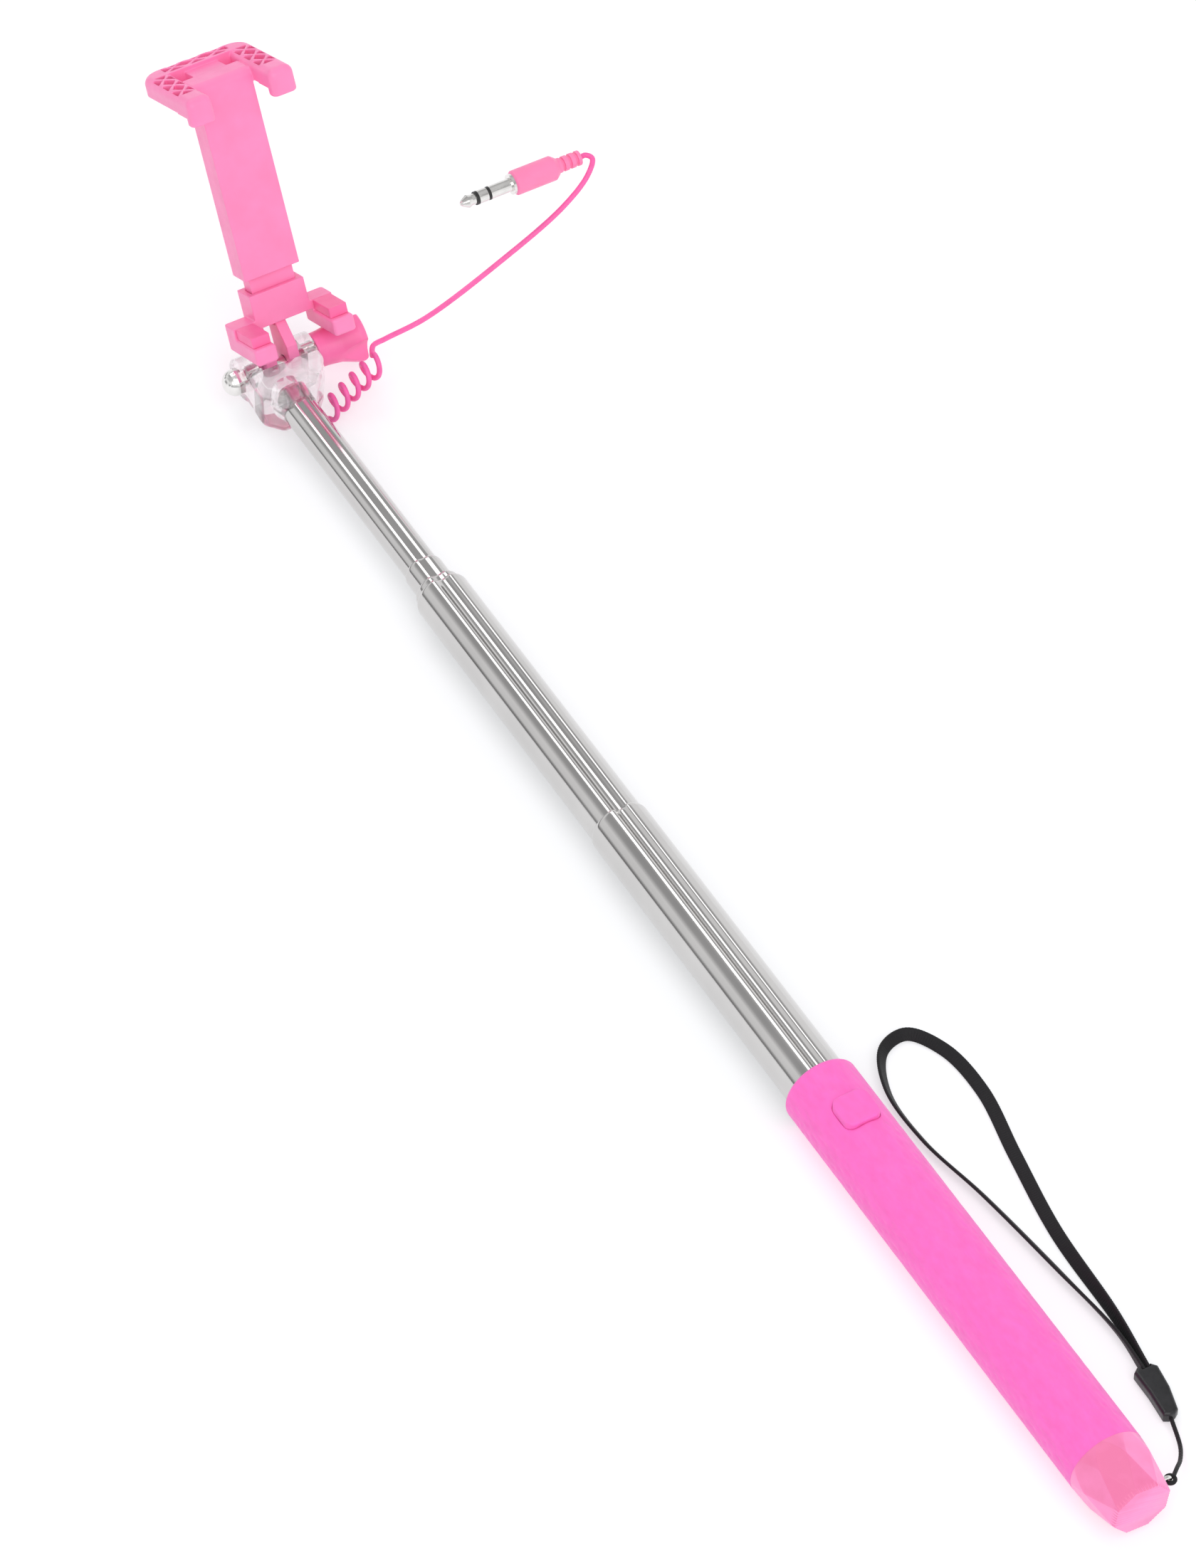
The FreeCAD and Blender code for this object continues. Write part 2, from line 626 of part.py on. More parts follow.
def make_knob():
    """A flared thumb knob with three scooped sides, moulded around the stud's end."""
    body = new_body("knob", FreeCAD.Placement(FreeCAD.Vector(), ALONG_X))
    bind(body, **{"Placement.Base.x": "knob_start", "Placement.Base.y": "pivot_station"})
    length = "(knob_end - knob_start)"
    profile = new_sketch(body, "XZ_Plane")
    polygon(profile, [("stud_radius", "0"), ("knob_neck", "0"), ("knob_neck + 0.1", "0.2 * " + length),
                      ("knob_neck + 0.6", "0.5 * " + length), ("knob_radius", "0.86 * " + length),
                      ("knob_radius", length), ("0", length), ("0", length + " - 2"),
                      ("stud_radius", length + " - 2")])
    revolve(body, profile)
    end = value(length)
    dress(body, "Fillet", "knob_rounding", lambda edge: abs(middle(edge).z - end) < 0.01)
    scoops = new_sketch(body, "XY_Plane", length + " * 0.3")
    for angle in (30, 150, 270):
        circle(scoops, "scoop_offset * cos(%d)" % angle, "scoop_offset * sin(%d)" % angle,
               "scoop_radius")
    pocket(body, scoops, "knob_end", backwards=True)


def make_knob_stud():
    """The threaded stud moulded into the knob; it runs through the yoke, the ears and the nut."""
    start = "arm_left - nut_flat_depth - 0.9"
    finish(cylinder("knob_stud_rod", "stud_radius", "knob_end - 2 - (%s)" % start, start,
                    "pivot_station", "0", ALONG_X), "knob_stud")


# ---- clamp base --------------------------------------------------------------------------------

def make_clamp_base():
    """Two stepped feet joined by a bridge behind the phone, with the tilt ears below it."""
    body = clamp_body("clamp_base")
    left, right = "clamp_centre - foot_half_span", "clamp_centre + foot_half_span"
    inner_left, inner_right = "clamp_centre - foot_inner", "clamp_centre + foot_inner"
    feet = new_sketch(body, "XY_Plane", "foot_back")
    polygon(feet, [(left, "foot_bottom"), (inner_left, "foot_bottom"), (inner_left, "bridge_bottom"),
                   (inner_right, "bridge_bottom"), (inner_right, "foot_bottom"),
                   (right, "foot_bottom"), (right, "rest_height"), (left, "rest_height")])
    pad(body, feet, "foot_front - foot_back")
    opening = new_sketch(body, "XY_Plane", "bridge_front")
    rectangle(opening, inner_left, "foot_bottom", inner_right, "rest_height + 1")
    pocket(body, opening, "foot_front", backwards=True)
    step = new_sketch(body, "XY_Plane", "bridge_front")
    rectangle(step, left + " - 1", "rest_height - foot_step", right + " + 1", "rest_height + 1")
    pocket(body, step, "foot_front", backwards=True)
    front = value("foot_front")
    back = value("foot_back")

    def is_foot_corner(edge):
        centre = middle(edge)
        upright = abs(edge.Curve.Direction.y) > 0.99
        return upright and (abs(centre.z - front) < 0.01 or abs(centre.z - back) < 0.01)

    dress(body, "Fillet", "foot_rounding", is_foot_corner)

    def is_front_rim(edge):
        return middle(edge).z > front - 1.0 and edge.Length > 2

    dress(body, "Chamfer", "foot_rounding / 2", is_front_rim)
    for side in ("left", "right"):
        centre = "ear_centre_" + side
        ear = new_sketch(body, "YZ_Plane", "%s - ear_width / 2" % centre)
        circle(ear, "0", "0", "ear_radius")
        pad(body, ear, "ear_width")
        web = new_sketch(body, "YZ_Plane", "%s - ear_width / 2" % centre)
        polygon(web, [("0", "-ear_radius"), ("bridge_bottom + 0.5", "foot_back"),
                      ("bridge_bottom + 0.5", "0"), ("ear_radius + 1", "ear_radius"),
                      ("0", "ear_radius")])
        pad(body, web, "ear_width")
    bore = new_sketch(body, "YZ_Plane", "clamp_centre - foot_half_span")
    circle(bore, "0", "0", "stud_radius + running_gap")
    pocket(body, bore, "2 * foot_half_span", backwards=True)
    socket = new_sketch(body, "XZ_Plane", "-bridge_bottom")
    rectangle(socket, "clamp_centre - spine_half_width", "spine_back",
              "clamp_centre + spine_half_width", "spine_front")
    pad(body, socket, "socket_top - bridge_bottom", backwards=True)
    hole = new_sketch(body, "XZ_Plane", "-bridge_bottom + 1")
    rectangle(hole, "clamp_centre - spine_half_width + spine_wall", "spine_back + spine_wall",
              "clamp_centre + spine_half_width - spine_wall", "spine_front - spine_wall")
    pocket(body, hole, "30")
    screws = new_sketch(body, "XY_Plane", "spine_back")
    for side in (-1, 1):
        circle(screws, "clamp_centre + %d * groove_spread" % side, "screw_height",
               "screw_radius + fit_gap")
    pocket(body, screws, "spine_wall + 0.5", backwards=True)


def make_foot_pads():
    """The soft upper step of each foot, that the phone's lower edge stands on."""
    pads = []
    for side in (-1, 1):
        width = "foot_half_span - foot_inner - 2 * pad_inset"
        left = "clamp_centre + %d * (foot_half_span + foot_inner) / 2 - (%s) / 2" % (side, width)
        block = doc.addObject("Part::Box", "foot_pad")
        bind(block, Length=width, Width="foot_step", Height="pad_front - bridge_front")
        pads.append((block, left, "rest_height - foot_step + 0.02", "bridge_front + fit_gap"))
    step = value("foot_step")
    place_clamp_group("foot_pads", pads, "pad_inset", lambda edge: abs(edge.Length - step) < 0.01)


def place_clamp_group(node, items, rounding, chosen):
    """Place boxes by their corner in the clamp's frame, round them and group them in one sub-part."""
    placed = []
    for item, x, y, z in items:
        corner = FreeCAD.Vector(value(x), value(y), value(z))
        item.Placement = CLAMP_FRAME.multiply(FreeCAD.Placement(corner, item.Placement.Rotation))
        placed.append(round_edges(node + "_round", item, rounding, chosen))
    group = doc.addObject("Part::Compound", node + "_group")
    group.Links = placed
    finish(group, node)


def make_guide_post():
    """The fixed post that the jaw's spine slides on, with a groove behind for each spring."""
    body = clamp_body("guide_post")
    gap = "spine_wall + post_gap"
    left = "clamp_centre - spine_half_width + " + gap
    right = "clamp_centre + spine_half_width - (" + gap + ")"
    back = "spine_back + " + gap
    outline = new_sketch(body, "XZ_Plane", "-bridge_bottom")
    rectangle(outline, left, back, right, "spine_front - (%s)" % gap)
    pad(body, outline, "post_top - bridge_bottom", backwards=True)
    grooves = new_sketch(body, "XY_Plane", back)
    for side in (-1, 1):
        middle_x = "clamp_centre + %d * groove_spread" % side
        rectangle(grooves, middle_x + " - groove_width / 2", "socket_top + 6",
                  middle_x + " + groove_width / 2", "post_top + 1")
    pocket(body, grooves, "groove_depth", backwards=True)
    pin = new_sketch(body, "YZ_Plane", left + " - 1")
    circle(pin, "pin_height", SPRING_AXIS, "pin_radius")
    pocket(body, pin, "2 * spine_half_width", backwards=True)
    screws = new_sketch(body, "XY_Plane", back)
    for side in (-1, 1):
        circle(screws, "clamp_centre + %d * groove_spread" % side, "screw_height",
               "screw_radius + fit_gap")
    pocket(body, screws, "screw_length - spine_wall + 4 * fit_gap", backwards=True)


def clamp_cylinder(name, radius, length, x, y, z, turn):
    item = doc.addObject("Part::Cylinder", name)
    bind(item, Radius=radius, Height=length)
    corner = FreeCAD.Vector(value(x), value(y), value(z))
    item.Placement = CLAMP_FRAME.multiply(FreeCAD.Placement(corner, turn))
    return item


def make_spring_pins():
    """The cross pins that hold the springs' ends: one in the post, one in the jaw's spine."""
    reach = "spine_half_width - spine_wall - post_gap"
    finish(clamp_cylinder("lower_pin", "pin_radius", "2 * (%s)" % reach, "clamp_centre - (%s)" % reach,
                          "pin_height", SPRING_AXIS, ALONG_X), "spring_pin_lower")
    finish(clamp_cylinder("upper_pin", "pin_radius", "2 * spine_half_width - 1",
                          "clamp_centre - spine_half_width + 0.5", "hook_height", SPRING_AXIS,
                          ALONG_X), "spring_pin_upper")


def make_post_screws():
    """Two screws through the back of the base's socket into the post."""
    screws = []
    for side in (-1, 1):
        x = "clamp_centre + %d * groove_spread" % side
        under = "spine_back - screw_head_depth"
        shank = clamp_cylinder("screw_shank", "screw_radius", "screw_length", x, "screw_height",
                               "spine_back", UPRIGHT)
        head = clamp_cylinder("screw_head", "screw_head_radius", "screw_head_depth", x, "screw_height",
                              under, UPRIGHT)
        socket = clamp_cylinder("screw_socket", "screw_radius / 2", "screw_head_depth / 2", x,
                                "screw_height", under, UPRIGHT)
        screws.append(cut("screw_cut", fuse("screw_fuse", shank, head), socket))
    group = doc.addObject("Part::Compound", "post_screws_group")
    group.Links = screws
    finish(group, "post_screws")


def make_jaw_springs():
    """Two tension springs that pull the spine down over the post."""
    low = value("pin_height + pin_radius + 0.5")
    high = value("hook_height - pin_radius - 0.5")
    turns = value("spring_turns")
    springs = []
    for side in (-1, 1):
        axis_x = value("clamp_centre + %d * groove_spread" % side)
        axis_z = value(SPRING_AXIS)
        helix = Part.makeHelix((high - low) / turns, high - low, value("spring_radius"))
        start = FreeCAD.Vector(value("spring_radius"), 0, 0)
        wire = Part.Wire([Part.makeCircle(value("spring_wire"), start, ABOUT_Y)])
        coil = Part.Wire(helix.Edges).makePipeShell([wire], True, True)
        turn = FreeCAD.Rotation(ABOUT_X, -90)
        coil.Placement = FreeCAD.Placement(FreeCAD.Vector(axis_x, low, axis_z), turn)
        springs.append(coil)
    shape = Part.makeCompound(springs)
    item = shaped("jaw_springs", shape)
    item.Placement = CLAMP_FRAME


# ---- upper jaw ---------------------------------------------------------------------------------

def make_upper_jaw():
    """The U-shaped jaw with its front lips, its neck and the hollow spine that rides on the post."""
    body = clamp_body("upper_jaw")
    under = "rest_height + jaw_opening"
    top = under + " + jaw_thickness"
    left, right = "clamp_centre - jaw_half_span", "clamp_centre + jaw_half_span"
    inner = "(jaw_half_span - jaw_arm_width)"
    plate = new_sketch(body, "XZ_Plane", "-(%s)" % under)
    polygon(plate, [(left, "jaw_depth_back"), (right, "jaw_depth_back"), (right, "jaw_depth_front"),
                    ("clamp_centre + " + inner, "jaw_depth_front"),
                    ("clamp_centre + " + inner, "jaw_depth_back + jaw_arm_width"),
                    ("clamp_centre - " + inner, "jaw_depth_back + jaw_arm_width"),
                    ("clamp_centre - " + inner, "jaw_depth_front"), (left, "jaw_depth_front")])
    pad(body, plate, "jaw_thickness", backwards=True)
    back = value("jaw_depth_back")
    span = value("jaw_half_span")
    centre_x = value("clamp_centre")

    def is_back_corner(edge):
        centre = middle(edge)
        return abs(centre.z - back) < 0.01 and abs(abs(centre.x - centre_x) - span) < 0.01

    dress(body, "Fillet", "jaw_corner", is_back_corner)
    lips = new_sketch(body, "XZ_Plane", "-(%s) - 0.5" % under)
    rectangle(lips, left, "jaw_depth_front - lip_depth", "clamp_centre - " + inner, "jaw_depth_front")
    rectangle(lips, "clamp_centre + " + inner, "jaw_depth_front - lip_depth", right, "jaw_depth_front")
    pad(body, lips, "lip_drop + 0.5")
    front = value("jaw_depth_front")
    lip_low = value(under + " - lip_drop")

    def is_lip_corner(edge):
        centre = middle(edge)
        upright = isinstance(edge.Curve, Part.Line) and abs(edge.Curve.Direction.y) > 0.99
        return upright and abs(centre.z - front) < 0.01

    dress(body, "Fillet", "lip_rounding_front", is_lip_corner)

    def is_lip_rim(edge):
        return abs(middle(edge).y - lip_low) < 0.03

    dress(body, "Fillet", "jaw_edge", is_lip_rim)
    upper = value(top)

    def is_top_front_edge(edge):
        centre = middle(edge)
        crossing = isinstance(edge.Curve, Part.Line) and abs(edge.Curve.Direction.x) > 0.99
        return crossing and abs(centre.y - upper) < 0.01 and abs(centre.z - front) < 0.01

    dress(body, "Fillet", "lip_rounding_top", is_top_front_edge)
    neck = new_sketch(body, "XZ_Plane", "-neck_bottom")
    rectangle(neck, "clamp_centre - neck_half_width", "jaw_depth_back + 1",
              "clamp_centre + neck_half_width", "spine_back + spine_wall / 2")
    pad(body, neck, "%s - 1.2 - neck_bottom" % top, backwards=True)
    spine = new_sketch(body, "XZ_Plane", "-spine_bottom")
    rectangle(spine, "clamp_centre - spine_half_width", "spine_back",
              "clamp_centre + spine_half_width", "spine_front")
    pad(body, spine, "spine_top - spine_bottom", backwards=True)
    spine_top = value("spine_top")
    spine_front = value("spine_front")

    def is_spine_top_front(edge):
        centre = middle(edge)
        return abs(centre.y - spine_top) < 0.01 and abs(centre.z - spine_front) < 0.01

    dress(body, "Fillet", "spine_rounding", is_spine_top_front)
    hollow = new_sketch(body, "XZ_Plane", "-spine_bottom + 0.5")
    rectangle(hollow, "clamp_centre - spine_half_width + spine_wall", "spine_back + spine_wall",
              "clamp_centre + spine_half_width - spine_wall", "spine_front - spine_wall")
    pocket(body, hollow, "spine_top - spine_bottom - spine_wall + 0.5")
    pin = new_sketch(body, "YZ_Plane", "clamp_centre - spine_half_width + 0.5")
    circle(pin, "hook_height", SPRING_AXIS, "pin_radius")
    pocket(body, pin, "2 * spine_half_width - 1", backwards=True)
    trusses = new_sketch(body, "XZ_Plane", "-(%s)" % top)
    for side in (-1, 1):
        truss_cells(trusses, "clamp_centre + %d * (jaw_half_span - jaw_arm_width / 2)" % side, True,
                    ["-11.4", "-5.6", "0.2", "6"])
    truss_cells(trusses, "jaw_depth_back + jaw_arm_width / 2", False,
                ["clamp_centre - 8.7", "clamp_centre - 2.9", "clamp_centre + 2.9", "clamp_centre + 8.7"])
    pocket(body, trusses, "truss_depth", backwards=True)


def truss_cells(sketch, line, along_arm, stations):
    """Between each two stations, four triangular recesses whose ribs cross as an X."""
    half = "(jaw_arm_width / 2 - truss_margin)"
    for start, end in zip(stations, stations[1:]):
        centre = "(%s + %s) / 2" % (start, end)
        reach = "((%s) - (%s)) / 2" % (end, start)
        for side in (-1, 1):
            on_edge = "%d * %s" % (side, half)
            at_end = "%s + %d * %s" % (centre, side, reach)
            edge_cell = [("%s - (%s - truss_rib)" % (centre, reach), on_edge),
                         ("%s + (%s - truss_rib)" % (centre, reach), on_edge),
                         (centre, "%d * truss_rib / 2" % side)]
            end_cell = [(at_end, half + " - truss_rib"), (at_end, "truss_rib - " + half),
                        ("%s + %d * truss_rib / 2" % (centre, side), "0")]
            for cell in (edge_cell, end_cell):
                across = [(line + " + " + v, u) for u, v in cell]
                polygon(sketch, across if along_arm else [(x, y) for y, x in across])


def make_jaw_pads():
    """Thin grip pads under the jaw's arms."""
    under = "rest_height + jaw_opening"
    pads = []
    for side in (-1, 1):
        block = doc.addObject("Part::Box", "jaw_pad")
        width = "(jaw_arm_width - 2 * jaw_edge)"
        bind(block, Length=width, Width="jaw_pad_depth", Height="jaw_pad_length")
        centre = "clamp_centre + %d * (jaw_half_span - jaw_arm_width / 2)" % side
        pads.append((block, centre + " - %s / 2" % width, under + " - jaw_pad_depth",
                     "spine_front + 0.6"))
    depth = value("jaw_pad_depth")
    place_clamp_group("jaw_pads", pads, "0.3", lambda edge: abs(edge.Length - depth) < 0.01)


# ---- cable and plug ----------------------------------------------------------------------------

def make_inner_coil_cord():
    """The cord between the switch and the head, coiled and relaxed in the grip's bore."""
    start, end = value("inner_coil_start"), value("inner_coil_end")
    radius = value("inner_coil_radius")
    helix = Part.makeHelix(value("inner_coil_pitch"), end - start, radius)
    wire = Part.Wire([Part.makeCircle(value("cord_radius"), FreeCAD.Vector(radius, 0, 0), ABOUT_Y)])
    coil = Part.Wire(helix.Edges).makePipeShell([wire], True, True)
    coil.Placement = FreeCAD.Placement(FreeCAD.Vector(0, start, 0), ALONG_POLE)
    shaped("inner_coil_cord", coil)


def make_cable_cord():
    """The outer cord: from the last tube's plug, through the yoke, the coil and up to the plug."""
    vector = FreeCAD.Vector
    low = value("-grip_radius + cord_radius")
    height = value("coil_height")
    coil = helix_points(vector(8.4, 377.9, height), vector(23.6, 379.7, height + 8.1),
                        value("coil_radius"), value("coil_turns"), -90)
    along = CHANNEL_END - CHANNEL_START
    lead = [vector(0, value("tube_top_e") + 0.2, 0), vector(0.1, 382.6, -0.1), CHANNEL_START + along * 0.3,
            CHANNEL_START + along * 0.65, CHANNEL_END, vector(6, 378.6, low)]
    run = [vector(25.3, 385.6, 1.9), vector(29.6, 386.9, 1.2), vector(41.5, 388, 1.6),
           vector(64.1, 391.6, 6.5), vector(82.9, 392.3, 16), vector(90.9, 393.8, 21.8),
           vector(93.9, 396.6, 24)]
    axis_y, axis_z = value("plug_station"), value("plug_height")
    end = [vector(value("relief_end") + inside, axis_y, axis_z) for inside in (1.8, 0.6, -0.9)]
    points = lead + coil + run + end
    shaped("cable_cord", swept(points, round_profile(value("cord_radius"))))


def plug_piece(node, points):
    """A turned piece about the plug's axis; each point is (station along X, radius)."""
    body = new_body(node, FreeCAD.Placement(FreeCAD.Vector(), ALONG_X))
    bind(body, **{"Placement.Base.y": "plug_station", "Placement.Base.z": "plug_height"})
    profile = new_sketch(body, "XZ_Plane")
    polygon(profile, [(radius, station) for station, radius in points])
    revolve(body, profile)
    return body


def make_plug():
    """A moulded barrel with a ribbed strain relief, and the four-part jack pin."""
    relief = []
    for slot in range(3):
        start = "barrel_end + 1.1 + %d * relief_pitch" % slot
        end = start + " + relief_slot"
        relief += [(start, "relief_radius"), (start, "relief_radius - 0.6"),
                   (end, "relief_radius - 0.6"), (end, "relief_radius")]
    plug_piece("plug_barrel", [("barrel_start", "jack_radius"), ("barrel_start", "barrel_radius - 0.5"),
                               ("barrel_start + 0.5", "barrel_radius"),
                               ("barrel_end - 1.2", "barrel_radius"),
                               ("barrel_end", "barrel_radius - 0.9"), ("barrel_end", "relief_radius")]
               + relief + [("relief_end", "relief_radius"), ("relief_end", "cord_radius + 0.35"),
                           ("relief_end - 1.1", "cord_radius + 0.35"), ("relief_end - 1.1", "0"),
                           ("barrel_start + 3", "0"), ("barrel_start + 3", "jack_radius")])
    tip = "barrel_start - contact_gap - jack_length"
    core = "jack_radius - 0.7"
    plug_piece("plug_sleeve", [("barrel_start + 3", core), ("barrel_start + 3", "jack_radius"),
                               ("barrel_start", "jack_radius"), ("barrel_start", "jack_radius + 0.9"),
                               ("barrel_start - 0.7", "jack_radius + 0.9"),
                               ("barrel_start - 0.7", "jack_radius"), (tip + " + 8.2", "jack_radius"),
                               (tip + " + 8.2", core)])
    plug_piece("plug_ring", [(tip + " + 7.4", core), (tip + " + 7.4", "jack_radius"),
                             (tip + " + 4.9", "jack_radius"), (tip + " + 4.9", core)])
    plug_piece("plug_tip", [(tip + " + 4.1", "0"), (tip + " + 4.1", "jack_radius - 0.35"),
                            (tip + " + 3.1", "jack_radius - 0.35"), (tip + " + 2", "jack_radius"),
                            (tip + " + 0.5", "0.9"), (tip, "0.4"), (tip, "0")])
    plug_piece("plug_insulator", [("barrel_start + 3", "0"), ("barrel_start + 3", core),
                                  (tip + " + 8.2", core), (tip + " + 8.2", "jack_radius"),
                                  (tip + " + 7.4", "jack_radius"), (tip + " + 7.4", core),
                                  (tip + " + 4.9", core), (tip + " + 4.9", "jack_radius"),
                                  (tip + " + 4.1", "jack_radius"), (tip + " + 4.1", "0")])


# ---- wrist strap -------------------------------------------------------------------------------

def make_strap_cord():
    """A small ring around the eyelet and the thin cord from it to the clasp."""
    vector = FreeCAD.Vector
    radius = value("strap_cord_radius")
    centre = vector(value("eyelet_centre + eyelet_spread"), value("eyelet_station"), 0)
    ring = Part.makeTorus(value("loop_radius"), radius, centre, ABOUT_Z)
    clasp_end = vector(21.5, 20.65, value("strap_height"))
    points = [centre + vector(value("loop_radius"), 0.35, 0), vector(12.6, 5.9, -1.2),
              vector(15.9, 9.2, -4.4), vector(19.2, 14, -7.2), clasp_end]
    shaped("strap_cord", ring.fuse(swept(points, round_profile(radius))).removeSplitter())


def make_strap_clasp():
    """A tapered moulded clasp, narrower where the cord enters it, with a slot for the ribbon's ends."""
    body = new_body("strap_clasp", FreeCAD.Placement())
    outline = new_sketch(body, "XY_Plane", "strap_height")
    polygon(outline, [("19.9", "21.6"), ("21.1", "20.9"), ("22.6", "20.9"), ("23.7", "21.6"),
                      ("25.4", "27.5"), ("26.2", "33.4"), ("25", "34.8"), ("22", "35.2"),
                      ("20.6", "34.2"), ("20.5", "28")])
    pad(body, outline, "clasp_depth", midplane=True)
    dress(body, "Fillet", "clasp_rounding", lambda edge: abs(middle(edge).z - value("strap_height")) > 1)
    throat = new_sketch(body, "XY_Plane", "strap_height")
    rectangle(throat, "ribbon_end_a - ribbon_depth / 2 - 4 * fit_gap", "ribbon_start - 2 * fit_gap",
              "ribbon_end_b + ribbon_depth / 2 + 4 * fit_gap", "ribbon_start + 3")
    pocket(body, throat, "2 * clasp_depth", midplane=True)


def make_strap_ribbon():
    """The woven loop: one ribbon, folded at its far end, standing on its edge."""
    vector = FreeCAD.Vector
    height = value("strap_height")
    start = value("ribbon_start")
    out = [vector(value("ribbon_end_a"), start, height), vector(24, 46, height), vector(22, 66, height),
           vector(18.8, 92, height), vector(15.4, 112, height), vector(16, 128, height),
           vector(21.5, 138.5, height), vector(28.4, 140, height), vector(33.6, 132, height),
           vector(34.8, 118, height), vector(31.4, 99, height), vector(27.6, 76, height),
           vector(26.1, 50, height), vector(value("ribbon_end_b"), start, height)]

    def profile(point, direction):
        across = direction.cross(ABOUT_Z)
        across.normalize()
        half_depth = across * (value("ribbon_depth") / 2)
        half_width = ABOUT_Z * (value("ribbon_width") / 2)
        corners = [point + half_depth + half_width, point - half_depth + half_width,
                   point - half_depth - half_width, point + half_depth - half_width]
        return Part.makePolygon(corners + [corners[0]])

    shaped("strap_ribbon", swept(out, profile))


# ---- build, check and write --------------------------------------------------------------------

make_handle_shell()
make_grip_mouth_bushing()
make_end_cap()
make_strap_eyelet()
make_switch()
make_button_cap()
make_tubes()
make_cable_channel(make_yoke())
make_tube_end_plug()
make_dome_nut()
make_knob_washer()
make_knob()
make_knob_stud()
make_clamp_base()
make_foot_pads()
make_guide_post()
make_spring_pins()
make_post_screws()
make_jaw_springs()
make_upper_jaw()
make_jaw_pads()
make_inner_coil_cord()
make_cable_cord()
make_plug()
make_strap_cord()
make_strap_clasp()
make_strap_ribbon()
doc.recompute()

for item in doc.Objects:
    if "Invalid" in item.State or "Error" in item.State:
        raise RuntimeError("%s (%s) failed: %s" % (item.Name, item.Label, item.State))
for item in SUB_PARTS:
    if item.Shape.isNull() or not item.Shape.isValid() or not item.Shape.Solids:
        raise RuntimeError("%s has no valid solid" % item.Label)

os.makedirs("parts", exist_ok=True)
for item in SUB_PARTS:
    item.Shape.exportStep(os.path.join("parts", item.Label + ".step"))
    print("%-20s %d solid(s) %10.2f mm3" % (item.Label, len(item.Shape.Solids), item.Shape.Volume))
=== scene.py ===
import math

import bpy
import numpy as np
from mathutils import Matrix, Vector


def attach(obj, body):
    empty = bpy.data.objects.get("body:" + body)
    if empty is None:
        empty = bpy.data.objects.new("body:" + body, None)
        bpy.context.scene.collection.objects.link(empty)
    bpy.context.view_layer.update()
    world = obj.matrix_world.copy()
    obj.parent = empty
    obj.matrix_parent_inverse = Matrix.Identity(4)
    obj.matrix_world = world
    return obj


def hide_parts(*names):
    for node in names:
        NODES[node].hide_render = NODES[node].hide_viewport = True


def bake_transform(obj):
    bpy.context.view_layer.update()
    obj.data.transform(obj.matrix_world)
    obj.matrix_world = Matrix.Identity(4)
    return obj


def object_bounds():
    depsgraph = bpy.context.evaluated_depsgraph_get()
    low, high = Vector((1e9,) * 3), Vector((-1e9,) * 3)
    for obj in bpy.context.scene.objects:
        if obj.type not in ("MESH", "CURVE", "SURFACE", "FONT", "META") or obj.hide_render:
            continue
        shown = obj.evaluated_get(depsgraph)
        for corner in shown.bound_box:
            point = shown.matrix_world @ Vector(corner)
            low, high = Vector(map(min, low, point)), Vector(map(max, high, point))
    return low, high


# Looks for a telescopic selfie stick: a pink grip with a shutter button and wrist strap, polished
# steel tubes, a clear fork, a pink spring clamp, and a coiled cable that ends in a jack plug.
# Metres, in the row frame: +Y runs along the pole to the head and +Z is up. MM turns mm into metres.

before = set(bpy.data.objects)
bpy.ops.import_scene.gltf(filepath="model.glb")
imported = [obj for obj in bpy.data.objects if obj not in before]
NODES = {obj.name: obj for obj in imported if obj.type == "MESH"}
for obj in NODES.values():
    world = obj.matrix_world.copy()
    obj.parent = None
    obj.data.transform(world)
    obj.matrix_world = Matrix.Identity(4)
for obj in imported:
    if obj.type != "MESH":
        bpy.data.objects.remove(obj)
cad_box = [list(map(float, corner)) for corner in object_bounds()]
MM = 0.001


def row(x, y, z):
    """A point given in millimetres."""
    return np.array([x, y, z], float) * MM


# ---- the clamp's own frame ----------------------------------------------------------------------

PIVOT = row(0, 393, 0)
TILT = math.radians(65)
CLAMP_MIDDLE = 6.7


def clamp_point(x, up, out):
    """A point in the clamp's frame: up runs along a held phone's width, out points out of its screen."""
    turned = np.array([x, up * math.cos(TILT) - out * math.sin(TILT),
                       up * math.sin(TILT) + out * math.cos(TILT)]) * MM
    return PIVOT + turned


# ---- materials ----------------------------------------------------------------------------------

